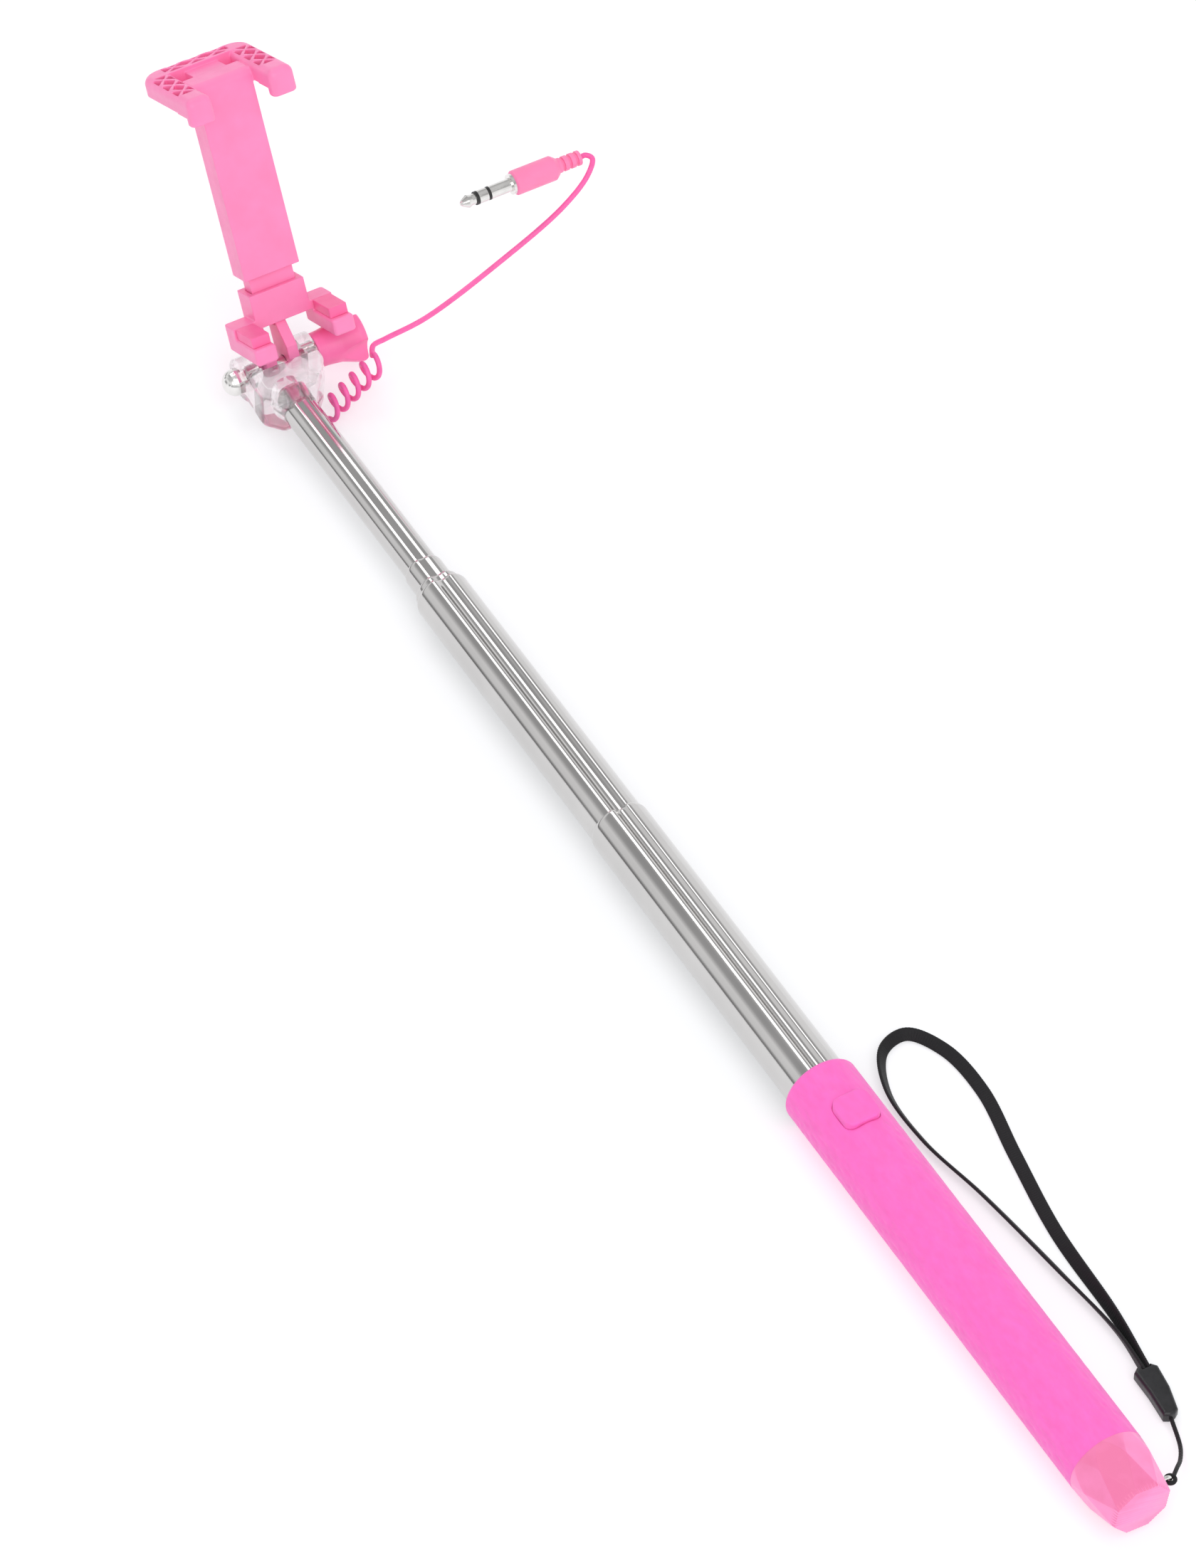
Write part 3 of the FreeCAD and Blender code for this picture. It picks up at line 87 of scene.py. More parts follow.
class Finish:
    """A principled material and the short way to add nodes to it."""

    def __init__(self, name, colour, roughness, metallic=0.0):
        self.material = bpy.data.materials.new(name)
        self.material.use_nodes = True
        self.tree = self.material.node_tree
        self.shader = self.tree.nodes["Principled BSDF"]
        self.colour = colour
        self.set("Base Color", (*colour, 1))
        self.set("Roughness", roughness)
        self.set("Metallic", metallic)
        self.where = self.add("ShaderNodeTexCoord").outputs["Object"]
        self.normal = None

    def set(self, socket, number):
        self.shader.inputs[socket].default_value = number

    def add(self, kind, **inputs):
        node = self.tree.nodes.new(kind)
        for name, number in inputs.items():
            self.feed(node.inputs[name.replace("_", " ")], number)
        return node

    def feed(self, socket, source):
        if isinstance(source, bpy.types.NodeSocket):
            self.tree.links.new(source, socket)
        else:
            socket.default_value = source

    def stretched(self, x, y, z):
        """The object's coordinates, scaled by a factor along each axis."""
        node = self.add("ShaderNodeMapping", Vector=self.where)
        node.inputs["Scale"].default_value = (x, y, z)
        return node.outputs["Vector"]

    def noise(self, scale, detail=3.0, where=None):
        node = self.add("ShaderNodeTexNoise", Vector=where or self.where, Scale=scale, Detail=detail)
        return node.outputs["Fac"]

    def cells(self, scale, where=None):
        node = self.add("ShaderNodeTexVoronoi", Vector=where or self.where, Scale=scale)
        node.feature = "SMOOTH_F1"
        return node.outputs["Distance"]

    def spread(self, source, low, high, start=0.3, end=0.7):
        """Map a pattern's start..end to low..high."""
        node = self.add("ShaderNodeMapRange", Value=source)
        for name, number in (("From Min", start), ("From Max", end), ("To Min", low), ("To Max", high)):
            node.inputs[name].default_value = number
        return node.outputs["Result"]

    def tint(self, source, dark, light):
        """Vary the base colour between two shares of it by a pattern."""
        ramp = self.add("ShaderNodeValToRGB", Fac=source)
        for element, share in zip(ramp.color_ramp.elements, (dark, light)):
            element.color = (*[min(1.0, part * share) for part in self.colour], 1)
        ramp.color_ramp.elements[0].position = 0.3
        ramp.color_ramp.elements[1].position = 0.7
        self.feed(self.shader.inputs["Base Color"], ramp.outputs["Color"])
        return ramp

    def rough(self, source, low, high):
        self.feed(self.shader.inputs["Roughness"], self.spread(source, low, high))

    def bump(self, source, depth_mm, strength=1.0):
        """Add surface relief; each call stacks on the one before."""
        node = self.add("ShaderNodeBump", Height=source, Strength=strength, Distance=depth_mm * MM)
        if self.normal is not None:
            self.feed(node.inputs["Normal"], self.normal)
        self.normal = node.outputs["Normal"]
        self.feed(self.shader.inputs["Normal"], self.normal)

    def total(self, first, second):
        """The sum of two patterns."""
        node = self.add("ShaderNodeMath")
        self.feed(node.inputs[0], first)
        self.feed(node.inputs[1], second)
        return node.outputs["Value"]

    def soften(self, depth, radius_mm, colour):
        """Light scattered a little way inside the plastic."""
        self.set("Subsurface Weight", depth)
        self.set("Subsurface Scale", radius_mm * MM)
        self.set("Subsurface Radius", colour)


def soft_touch_pink():
    """Matt rubbery paint: short strokes along the grip over a very fine grain."""
    look = Finish("grip_pink", (1.0, 0.158, 0.565), 0.50)
    strokes = look.noise(620, 3.0, look.stretched(1.0, 0.45, 1.0))
    look.tint(strokes, 0.93, 1.03)
    look.rough(look.noise(900), 0.42, 0.58)
    look.bump(strokes, 0.035)
    look.bump(look.noise(5200, 2.0), 0.008)
    look.soften(0.2, 1.0, (1.0, 0.25, 0.5))
    look.set("Sheen Weight", 0.08)
    look.set("Specular IOR Level", 0.35)
    return look.material


def moulded_pink(name, colour, roughness):
    """Glossy moulded plastic with faint flow marks and a fine spark-eroded grain."""
    look = Finish(name, colour, roughness)
    look.tint(look.noise(140, 3.0), 0.94, 1.05)
    look.rough(look.noise(600), roughness - 0.05, roughness + 0.07)
    look.bump(look.noise(700, 0.0), 0.008)
    return look.material


def cap_with_painted_light():
    """Pink plastic with painted light: facets that turn away from the camera get a paler colour painted
    on, standing in for light coming through them.
    """
    look = Finish("cap_pink", (0.94, 0.205, 0.43), 0.38)
    look.rough(look.noise(700), 0.32, 0.44)
    look.bump(look.noise(500, 0.0), 0.004)
    facing = look.add("ShaderNodeLayerWeight", Blend=0.5).outputs["Facing"]
    painted_light_by_slant = look.spread(facing, 0.25, 0.75, 0.03, 0.55)
    clouds = look.spread(look.noise(260, 2.0), -0.06, 0.06)
    # painted light: a paler colour painted on the facets by their slant to the camera, plus random
    # cloudy tone
    look.tint(look.total(painted_light_by_slant, clouds), 0.88, 1.36)
    look.set("Coat Weight", 0.2)
    look.set("Coat Roughness", 0.30)
    return look.material


def drawn_steel():
    """Polished stainless tube, with fine draw lines along the pole and faint handling haze."""
    look = Finish("tube_steel", (0.60, 0.59, 0.58), 0.10, 1.0)
    lines = look.noise(700, 2.0, look.stretched(1.0, 0.012, 1.0))
    haze = look.noise(70, 3.0)
    roughness = look.total(look.spread(lines, 0.0, 0.03), look.spread(haze, 0.07, 0.11))
    look.feed(look.shader.inputs["Roughness"], roughness)
    look.tint(haze, 0.96, 1.03)
    return look.material


def bright_metal(name="bright_metal", colour=(0.80, 0.79, 0.77), roughness=0.10):
    """Plated or turned metal with fine scratches."""
    look = Finish(name, colour, roughness, 1.0)
    scratches = look.noise(2600, 4.0, look.stretched(1.0, 0.2, 1.0))
    look.tint(look.noise(300), 0.93, 1.05)
    look.rough(scratches, roughness, roughness + 0.12)
    look.bump(scratches, 0.0006)
    return look.material


def clear_plastic():
    """Water-clear moulded plastic with a faint pink cast, sink marks and gate haze."""
    look = Finish("clear_plastic", (0.995, 0.965, 0.975), 0.02)
    look.rough(look.noise(320, 3.0), 0.0, 0.03)
    look.bump(look.noise(160, 2.0), 0.004)
    look.set("Transmission Weight", 1.0)
    look.set("IOR", 1.31)
    look.set("Coat Weight", 0.8)
    look.set("Coat Roughness", 0.03)
    look.set("Alpha", 0.85)
    return look.material


def black_plastic(name, colour, roughness, grain):
    """Black moulded plastic with a grain of the given fineness."""
    look = Finish(name, colour, roughness)
    look.tint(look.noise(400), 0.8, 1.3)
    look.rough(look.noise(900), roughness - 0.06, roughness + 0.1)
    look.bump(look.noise(grain, 3.0), 0.01)
    return look.material


def woven_black():
    """Polyester webbing: the yarns are geometry, and this adds each yarn's filaments and its sheen."""
    look = Finish("strap_black", (0.006, 0.006, 0.007), 0.62)
    filaments = look.noise(9000, 3.0, look.stretched(1.0, 0.35, 1.0))
    look.tint(filaments, 0.6, 1.9)
    look.rough(filaments, 0.5, 0.8)
    look.bump(filaments, 0.02)
    look.set("Sheen Weight", 0.06)
    look.set("Specular IOR Level", 0.3)
    return look.material


def rubber_cord():
    """The soft jacket of the cord."""
    look = Finish("cord_pink", (0.93, 0.13, 0.42), 0.38)
    look.tint(look.noise(500), 0.92, 1.06)
    look.rough(look.noise(1500), 0.33, 0.48)
    look.bump(look.noise(3500, 3.0), 0.006)
    look.soften(0.15, 0.6, (1.0, 0.3, 0.5))
    return look.material


def circuit_green():
    """The switch board's lacquer."""
    look = Finish("board_green", (0.02, 0.16, 0.06), 0.35)
    look.tint(look.cells(900), 0.7, 1.5)
    look.rough(look.noise(2000), 0.25, 0.5)
    look.bump(look.cells(900), 0.01)
    return look.material


GRIP = soft_touch_pink()
CLAMP = moulded_pink("clamp_pink", (1.0, 0.245, 0.500), 0.36)
KNOB = moulded_pink("knob_pink", (1.0, 0.190, 0.450), 0.36)
PAD = moulded_pink("pad_pink", (1.0, 0.155, 0.390), 0.42)
BARREL = moulded_pink("barrel_pink", (0.98, 0.235, 0.460), 0.36)
CAP = cap_with_painted_light()
STEEL = drawn_steel()
CHROME = bright_metal()
SPRING = bright_metal("spring_steel", (0.55, 0.54, 0.52), 0.28)
CLEAR = clear_plastic()
SLEEVE = black_plastic("sleeve_black", (0.02, 0.02, 0.022), 0.5, 2500)
CLASP = black_plastic("clasp_black", (0.010, 0.0105, 0.012), 0.36, 3800)
INSULATOR = black_plastic("plug_black", (0.012, 0.012, 0.012), 0.4, 3000)
STRAP = woven_black()
CORD = rubber_cord()
BOARD = circuit_green()

LOOKS = {
    GRIP: ["handle_shell", "button_cap", "grip_mouth_bushing"],
    CAP: ["end_cap"],
    STEEL: ["tube_%d" % number for number in range(1, 6)],
    SLEEVE: ["tube_%d_sleeve" % number for number in range(1, 6)],
    CLEAR: ["yoke"],
    CHROME: ["dome_nut", "knob_washer", "knob_stud", "strap_eyelet", "plug_sleeve", "plug_ring",
             "plug_tip", "post_screws", "switch_dome"],
    SPRING: ["jaw_springs", "spring_pin_lower", "spring_pin_upper"],
    KNOB: ["knob"],
    CLAMP: ["clamp_base", "upper_jaw", "guide_post"],
    PAD: ["foot_pads", "jaw_pads", "tube_end_plug"],
    BARREL: ["plug_barrel"],
    CORD: ["cable_cord", "inner_coil_cord"],
    INSULATOR: ["plug_insulator"],
    BOARD: ["switch_board"],
    STRAP: ["strap_cord", "strap_ribbon"],
    CLASP: ["strap_clasp"],
}


def dress_nodes():
    """Give every CAD node its material."""
    for material, names in LOOKS.items():
        for name in names:
            slots = NODES[name].data.materials
            slots.clear()
            slots.append(material)


# ---- mesh helpers -------------------------------------------------------------------------------

SHARP_FROM = math.radians(50)
CURVE_SAMPLES = 24


def new_piece(name, points, faces, material, body, node=None):
    """A smooth mesh. It rides on the body and stands for the CAD node, when these are given."""
    mesh = bpy.data.meshes.new(name)
    mesh.from_pydata([tuple(point) for point in points], [], faces)
    mesh.materials.append(material)
    mesh.polygons.foreach_set("use_smooth", [True] * len(mesh.polygons))
    mesh.update()
    mesh.set_sharp_from_angle(angle=SHARP_FROM)
    item = bpy.data.objects.new(name, mesh)
    bpy.context.scene.collection.objects.link(item)
    if body:
        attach(item, body)
    if node:
        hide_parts(node)
    return item


def smooth_path(points, step):
    """Points a step apart along a centripetal Catmull-Rom curve through the given ones."""
    points = [np.asarray(point, float) for point in points]
    points = [2 * points[0] - points[1]] + points + [2 * points[-1] - points[-2]]
    dense = []
    for a, b, c, d in zip(points, points[1:], points[2:], points[3:]):
        t1 = np.linalg.norm(b - a) ** 0.5
        t2 = t1 + np.linalg.norm(c - b) ** 0.5
        t3 = t2 + np.linalg.norm(d - c) ** 0.5
        for t in np.linspace(t1, t2, CURVE_SAMPLES, endpoint=False):
            ab = (a * (t1 - t) + b * t) / t1
            bc = (b * (t2 - t) + c * (t - t1)) / (t2 - t1)
            cd = (c * (t3 - t) + d * (t - t2)) / (t3 - t2)
            abc = (ab * (t2 - t) + bc * t) / t2
            bcd = (bc * (t3 - t) + cd * (t - t1)) / (t3 - t1)
            dense.append((abc * (t2 - t) + bcd * (t - t1)) / (t2 - t1))
    dense.append(points[-2])
    dense = np.array(dense)
    lengths = np.concatenate([[0], np.cumsum(np.linalg.norm(np.diff(dense, axis=0), axis=1))])
    stations = np.linspace(0, lengths[-1], max(2, int(round(lengths[-1] / step)) + 1))
    return np.stack([np.interp(stations, lengths, dense[:, axis]) for axis in range(3)], axis=1)


def directions(path):
    """The unit tangent at each point of a path."""
    along = np.gradient(path, axis=0)
    return along / np.linalg.norm(along, axis=1)[:, None]


def carried_frame(path):
    """Two unit vectors across the path at each point, carried along it without twisting."""
    along = directions(path)
    side = np.cross(along[0], [0.0, 0.0, 1.0])
    if np.linalg.norm(side) < 0.1:
        side = np.cross(along[0], [1.0, 0.0, 0.0])
    sides = []
    for direction in along:
        side = side - direction * np.dot(side, direction)
        side = side / np.linalg.norm(side)
        sides.append(side)
    sides = np.array(sides)
    return sides, np.cross(along, sides)


def turned_rings(profile, angles):
    """Rings about the pole's axis from (size, station) pairs; a size is one radius or one per angle."""
    rings = []
    for size, station in profile:
        rings.append(np.stack([size * np.sin(angles), np.full(len(angles), station),
                               size * np.cos(angles)], axis=1))
    return np.array(rings) * MM


def lofted(rings, closed=False):
    """Points and faces of a skin over equal rings of points; open ends are capped."""
    count, around = rings.shape[0], rings.shape[1]
    points = rings.reshape(-1, 3)
    faces = []
    last = count if closed else count - 1
    for ring in range(last):
        here = ring * around
        there = ((ring + 1) % count) * around
        for number in range(around):
            following = (number + 1) % around
            faces.append((here + number, here + following, there + following, there + number))
    if not closed:
        faces.append(tuple(range(around - 1, -1, -1)))
        faces.append(tuple(range((count - 1) * around, count * around)))
    return points, faces


def joined(skins):
    """One list of points and one of faces from several skins."""
    points, faces = [], []
    for skin_points, skin_faces in skins:
        offset = sum(len(part) for part in points)
        points.append(skin_points)
        faces += [tuple(number + offset for number in face) for face in skin_faces]
    return np.concatenate(points), faces


def cord_rings(path, radius, around=16, relief=None):
    """Rings of a round cord; relief(angle, distance) adds to the radius."""
    side, up = carried_frame(path)
    angles = np.linspace(0, 2 * math.pi, around, endpoint=False)
    distance = np.concatenate([[0], np.cumsum(np.linalg.norm(np.diff(path, axis=0), axis=1))])
    size = np.full((len(path), around), radius)
    if relief:
        size = size + relief(angles[None, :], distance[:, None])
    return (path[:, None, :] + side[:, None, :] * (size * np.cos(angles))[:, :, None]
            + up[:, None, :] * (size * np.sin(angles))[:, :, None])


# ---- grip ---------------------------------------------------------------------------------------

GRIP_START, GRIP_END, GRIP_RADIUS, GRIP_BORE = 14.0, 131.5, 9.1, 7.9
GRIP_ROLL = 1.1
HOLLOW_DEPTH = 0.085
PLAIN_BUTT, PLAIN_MOUTH = 3, 4
BUTTON_STATION, BUTTON_HALF, BUTTON_CORNER = 116.0, 4.55, 2.3
WINDOW_BORDER, WINDOW_FADE, CUTTER_MARGIN = 0.8, 1.5, 2.9


def rounded_square_distance(x, y, half, corner):
    """Signed distance from a rounded square's outline, negative inside."""
    across = np.maximum(np.abs(x) - (half - corner), 0)
    along = np.maximum(np.abs(y) - (half - corner), 0)
    inside = np.minimum(np.maximum(np.abs(x) - (half - corner), np.abs(y) - (half - corner)), 0)
    return np.hypot(across, along) + inside - corner


def hollows(angle, station):
    """The soft-touch skin's shallow hollows: two crossing wave trains that wander a little."""
    turn = angle * GRIP_RADIUS
    wander = 0.9 * np.sin(station * 0.57 + 1.3 * np.sin(turn * 0.41)) + 0.7 * np.sin(turn * 0.73 + 2.0)
    first = np.cos((turn + 0.55 * station) * 2.3 + wander)
    second = np.cos((turn - 0.48 * station) * 2.1 - wander + 1.1)
    return -np.clip(first + second - 0.45, 0, 2)


def make_grip():
    """The moulded grip with its shallow hollows, a rolled mouth and the button's window."""
    angles = np.linspace(0, 2 * math.pi, 240, endpoint=False)
    profile = []
    for station in np.arange(GRIP_START, GRIP_END - GRIP_ROLL, 0.4):
        window = rounded_square_distance(GRIP_RADIUS * np.sin(angles), station - BUTTON_STATION,
                                         BUTTON_HALF, BUTTON_CORNER)
        beside_window = np.clip((window - WINDOW_BORDER) / WINDOW_FADE, 0, 1)
        fade = np.where(np.cos(angles) > 0, beside_window, 1.0)
        fade = fade * min(1, (station - GRIP_START) / PLAIN_BUTT, (GRIP_END - station) / PLAIN_MOUTH)
        profile.append((GRIP_RADIUS + HOLLOW_DEPTH * hollows(angles, station) * fade, station))
    for turn in np.linspace(0, math.pi / 2, 7):
        profile.append((GRIP_RADIUS - GRIP_ROLL + GRIP_ROLL * math.cos(turn),
                        GRIP_END - GRIP_ROLL + GRIP_ROLL * math.sin(turn)))
    profile += [(GRIP_BORE, station) for station in np.linspace(GRIP_END, GRIP_START, 40)]
    points, faces = lofted(turned_rings(profile, angles), closed=True)
    grip = new_piece("grip", points, [face[::-1] for face in faces], GRIP, "handle", "handle_shell")
    cut_window(grip)


def cut_window(grip):
    """Cut the button's window through the grip's top."""
    reach = BUTTON_HALF - BUTTON_CORNER
    below, above = GRIP_BORE - CUTTER_MARGIN, GRIP_RADIUS + CUTTER_MARGIN
    outline = []
    for corner_x, corner_y, start in ((1, 1, 0), (-1, 1, 90), (-1, -1, 180), (1, -1, 270)):
        for angle in range(start, start + 91, 15):
            outline.append((corner_x * reach + BUTTON_CORNER * math.cos(math.radians(angle)),
                            corner_y * reach + BUTTON_CORNER * math.sin(math.radians(angle))))
    rings = np.array([[(x, BUTTON_STATION + y, z) for x, y in outline] for z in (below, above)]) * MM
    points, faces = lofted(rings)
    cutter = new_piece("window_cutter", points, faces, GRIP, None)
    boolean = grip.modifiers.new("window", "BOOLEAN")
    boolean.object = cutter
    boolean.operation = "DIFFERENCE"
    boolean.solver = "EXACT"
    apply_modifiers(grip)
    bpy.data.objects.remove(cutter)


def apply_modifiers(item):
    """Replace the mesh by what its modifiers make of it."""
    bpy.context.view_layer.update()
    seen = item.evaluated_get(bpy.context.evaluated_depsgraph_get())
    mesh = bpy.data.meshes.new_from_object(seen)
    item.modifiers.clear()
    item.data = mesh


# ---- end cap ------------------------------------------------------------------------------------

CAP_RADIUS, CAP_TURN, LOZENGES = 9.05, -15.5, 8
LOZENGE_SLOPE = 0.133
FLAT_SLOPE, FLAT_START = 0.275, 8.8
RIM_HEIGHT, RIM_TEETH, RIM_DEPTH, BUTT_CHAMFER = 1.2, 54, 0.14, 0.15
SPIGOT_LENGTH, SPIGOT_PLAY = 6, 0.05


def cut_radius(angles, centre, distance):
    """How far out a ring of flats with the given distance from the axis leaves the surface."""
    pitch = 2 * math.pi / LOZENGES
    offset = (angles - math.radians(centre) + pitch / 2) % pitch - pitch / 2
    return distance / np.cos(offset)


def make_cap():
    """The end cap: long lozenges cut around it, steeper flats between them, and a serrated rim."""
    angles = np.linspace(0, 2 * math.pi, 8 * RIM_TEETH, endpoint=False)
    teeth = RIM_DEPTH * (0.5 + 0.5 * np.cos(RIM_TEETH * angles))
    profile = []
    for station in np.concatenate([[0.0, 0.12, 0.3], np.arange(0.5, GRIP_START + 0.01, 0.15)]):
        lozenge = cut_radius(angles, CAP_TURN, CAP_RADIUS - LOZENGE_SLOPE * (GRIP_START - station))
        flat = cut_radius(angles, CAP_TURN + 180 / LOZENGES,
                          CAP_RADIUS - FLAT_SLOPE * (FLAT_START - station))
        size = np.minimum(np.minimum(lozenge, flat), CAP_RADIUS)
        if station < RIM_HEIGHT:
            size = size - teeth * (1 - station / RIM_HEIGHT) ** 0.5
        profile.append((size, station))
    profile[0] = (profile[0][0] - BUTT_CHAMFER, 0.0)
    for station in (GRIP_START, GRIP_START + SPIGOT_LENGTH):
        profile.append((GRIP_BORE - SPIGOT_PLAY, station))
    points, faces = lofted(turned_rings(profile, angles))
    new_piece("cap", points, [face[::-1] for face in faces], CAP, "handle", "end_cap")


# ---- steel tubes --------------------------------------------------------------------------------

# outer radius, groove radius, top station, length and body of each tube
TUBES = [(7.5, 1.5, 220.5, 102, "tube_1"), (6.9, 2.0, 305.2, 98, "tube_2"),
         (6.0, 2.5, 307.4, 94, "tube_3"), (5.0, 3.0, 314.3, 90, "tube_4"),
         (4.45, 3.5, 381.0, 86, "head")]
GROOVE_CENTRE = 7.4
TUBE_WALL, RIM_SOFTNESS = 0.35, 0.66
MOUTH_ROLL, MOUTH_DEPTH, MOUTH_GAP, MOUTH_BEARING = 1.1, 0.7, 0.16, 6.0
MOUTH_STRETCH = 3
FINE_POINTS, RING_POINTS = 1200, 360
SMOOTHING_REACH = 70


def tube_outline(radius, groove):
    """A drawn tube's section: a circle with a round groove on top, its two rims rolled over."""
    cosine = (radius ** 2 + GROOVE_CENTRE ** 2 - groove ** 2) / (2 * radius * GROOVE_CENTRE)
    edge = math.acos(cosine)
    outside = [(radius * math.sin(a), radius * math.cos(a))
               for a in np.linspace(math.pi, edge, 400, endpoint=False)]
    x, z = radius * math.sin(edge), radius * math.cos(edge)
    reach = math.atan2(x, GROOVE_CENTRE - z)
    floor = [(groove * math.sin(a), GROOVE_CENTRE - groove * math.cos(a))
             for a in np.linspace(reach, -reach, 100, endpoint=False)]
    other = [(-u, v) for u, v in reversed(outside)]
    section = np.array(outside + floor + other[:-1])
    closed = np.concatenate([section, section[:1]])
    lengths = np.concatenate([[0], np.cumsum(np.hypot(*np.diff(closed, axis=0).T))])
    even = np.linspace(0, lengths[-1], FINE_POINTS, endpoint=False)
    even = np.stack([np.interp(even, lengths, closed[:, axis]) for axis in (0, 1)], axis=1)
    spread = RIM_SOFTNESS / (lengths[-1] / FINE_POINTS)
    offsets = np.arange(-SMOOTHING_REACH, SMOOTHING_REACH + 1)
    weights = np.exp(-0.5 * (offsets / spread) ** 2)
    weights = weights / weights.sum()
    smooth = sum(weight * np.roll(even, -offset, axis=0) for offset, weight in zip(offsets, weights))
    return smooth[np.linspace(0, FINE_POINTS, RING_POINTS, endpoint=False).astype(int)]


def inset(outline, distance):
    """The outline moved inwards along its normals."""
    tangent = np.roll(outline, -1, axis=0) - np.roll(outline, 1, axis=0)
    tangent = tangent / np.linalg.norm(tangent, axis=1)[:, None]
    normal = np.stack([-tangent[:, 1], tangent[:, 0]], axis=1)
    if np.sum(normal * outline) > 0:
        normal = -normal
    return outline + normal * distance


def make_tubes():
    """Each tube: its grooved wall, the rolled mouth, and the gap the next tube runs in."""
    for number, (radius, groove, top, length, body) in enumerate(TUBES, start=1):
        outer = tube_outline(radius, groove)
        bore = inset(outer, TUBE_WALL)
        start = top - length
        mouth = bore
        depth = TUBE_WALL
        if number < len(TUBES):
            following_radius, following_groove = TUBES[number][:2]
            mouth = inset(tube_outline(following_radius, following_groove), -MOUTH_GAP)
            depth = min(MOUTH_DEPTH, radius - following_radius - MOUTH_GAP - 0.02)
        layers = [(outer, station) for station in np.arange(start, top - MOUTH_STRETCH, 2.0)]
        layers += [(outer, station)
                   for station in np.linspace(top - MOUTH_STRETCH, top - MOUTH_ROLL, 5)]
        for turn in np.linspace(0.15, math.pi / 2, 9):
            layers.append((inset(outer, depth * (1 - math.cos(turn))),
                           top - MOUTH_ROLL * (1 - math.sin(turn))))
        layers += [(mouth, top - 0.05), (mouth, top - MOUTH_BEARING)]
        layers += [(bore, top - MOUTH_BEARING - 0.5), (bore, start)]
        rings = np.array([[(x, station, z) for x, z in outline] for outline, station in layers])
        points, faces = lofted(rings * MM, closed=True)
        new_piece("steel_tube_%d" % number, points, faces, STEEL, body, "tube_%d" % number)


# ---- cable, strap and springs -------------------------------------------------------------------

CORD_RADIUS = 0.68
COIL_START, COIL_END = np.array([8.4, 377.9, -5.8]), np.array([23.6, 379.7, 2.3])
COIL_RADIUS, COIL_TURNS = 2.6, 4.75
CHANNEL_START, CHANNEL_END = np.array([0, 384.1, 0]), np.array([4.5, 380.4, -7.2])


def coil_points(per_turn=12):
    """The coiled stretch of the outer cord, beside the fork."""
    axis = (COIL_END - COIL_START) / np.linalg.norm(COIL_END - COIL_START)
    side = np.cross(axis, [0, 0, 1.0])
    side = side / np.linalg.norm(side)
    points = []
    for number in range(int(COIL_TURNS * per_turn) + 1):
        share = number / (COIL_TURNS * per_turn)
        angle = math.radians(-90) + 2 * math.pi * COIL_TURNS * share
        points.append(COIL_START + (COIL_END - COIL_START) * share
                      + side * COIL_RADIUS * math.cos(angle)
                      + np.array([0, 0, COIL_RADIUS * math.sin(angle)]))
    return points


def make_cable():
    """The outer cord: out of the last tube, through the fork, the coil, and up to the plug."""
    lead = [(0, 381.2, 0), (0.1, 382.6, -0.1)]
    lead += [CHANNEL_START + (CHANNEL_END - CHANNEL_START) * share for share in (0.3, 0.65, 1.0)]
    lead += [(6, 378.6, -8.42)]
    run = [(25.3, 385.6, 1.9), (29.6, 386.9, 1.2), (41.5, 388, 1.6), (64.1, 391.6, 6.5),
           (82.9, 392.3, 16), (90.9, 393.8, 21.8), (93.9, 396.6, 24), (92.8, 398.1, 24.4),
           (91.6, 398.1, 24.4), (90.1, 398.1, 24.4)]
    path = smooth_path([row(*point) for point in lead + coil_points() + run], 0.25 * MM)
    points, faces = lofted(cord_rings(path, CORD_RADIUS * MM, 20))
    new_piece("cable", points, faces, CORD, "head", "cable_cord")


# The strap's loop from the clasp round to the clasp: places in mm and the webbing's lean in degrees.
LOOP = [(23.2, 34, -7.4, 90), (24, 46, -7.4, 110), (22, 66, -7.4, 124), (18.8, 92, -7.4, 122),
        (15.4, 112, -7.4, 120), (16, 128, -7.4, 120), (21.5, 138.5, -7.5, 128),
        (28.4, 140, -7.8, 138), (33.6, 132, -8.1, 152), (34.8, 118, -8.3, 162),
        (31.4, 99, -8.4, 163), (27.6, 76, -8.2, 156), (26.1, 50, -7.6, 118), (24.3, 34, -7.4, 90)]
RIBBON_HALF_WIDTH, RIBBON_HALF_DEPTH = 1.55, 0.36
YARN_LENGTH, YARN_WIDTH, YARN_RELIEF = 0.62, 0.74, 0.11
LEAN_REACH = 80


def ribbon_axes(path, distance, reach):
    """Unit vectors across the webbing's width and through its depth, leaning as LOOP says."""
    lean = np.radians(np.interp(distance, reach, [point[3] for point in LOOP]))
    window = np.hanning(2 * LEAN_REACH + 1)
    lean = np.convolve(np.pad(lean, LEAN_REACH, mode="edge"), window / window.sum(), mode="valid")
    along = directions(path)
    flat = np.cross(along, [0.0, 0.0, 1.0])
    flat = flat / np.linalg.norm(flat, axis=1)[:, None]
    upright = np.cross(flat, along)
    across = flat * np.cos(lean)[:, None] + upright * np.sin(lean)[:, None]
    return across, np.cross(along, across)


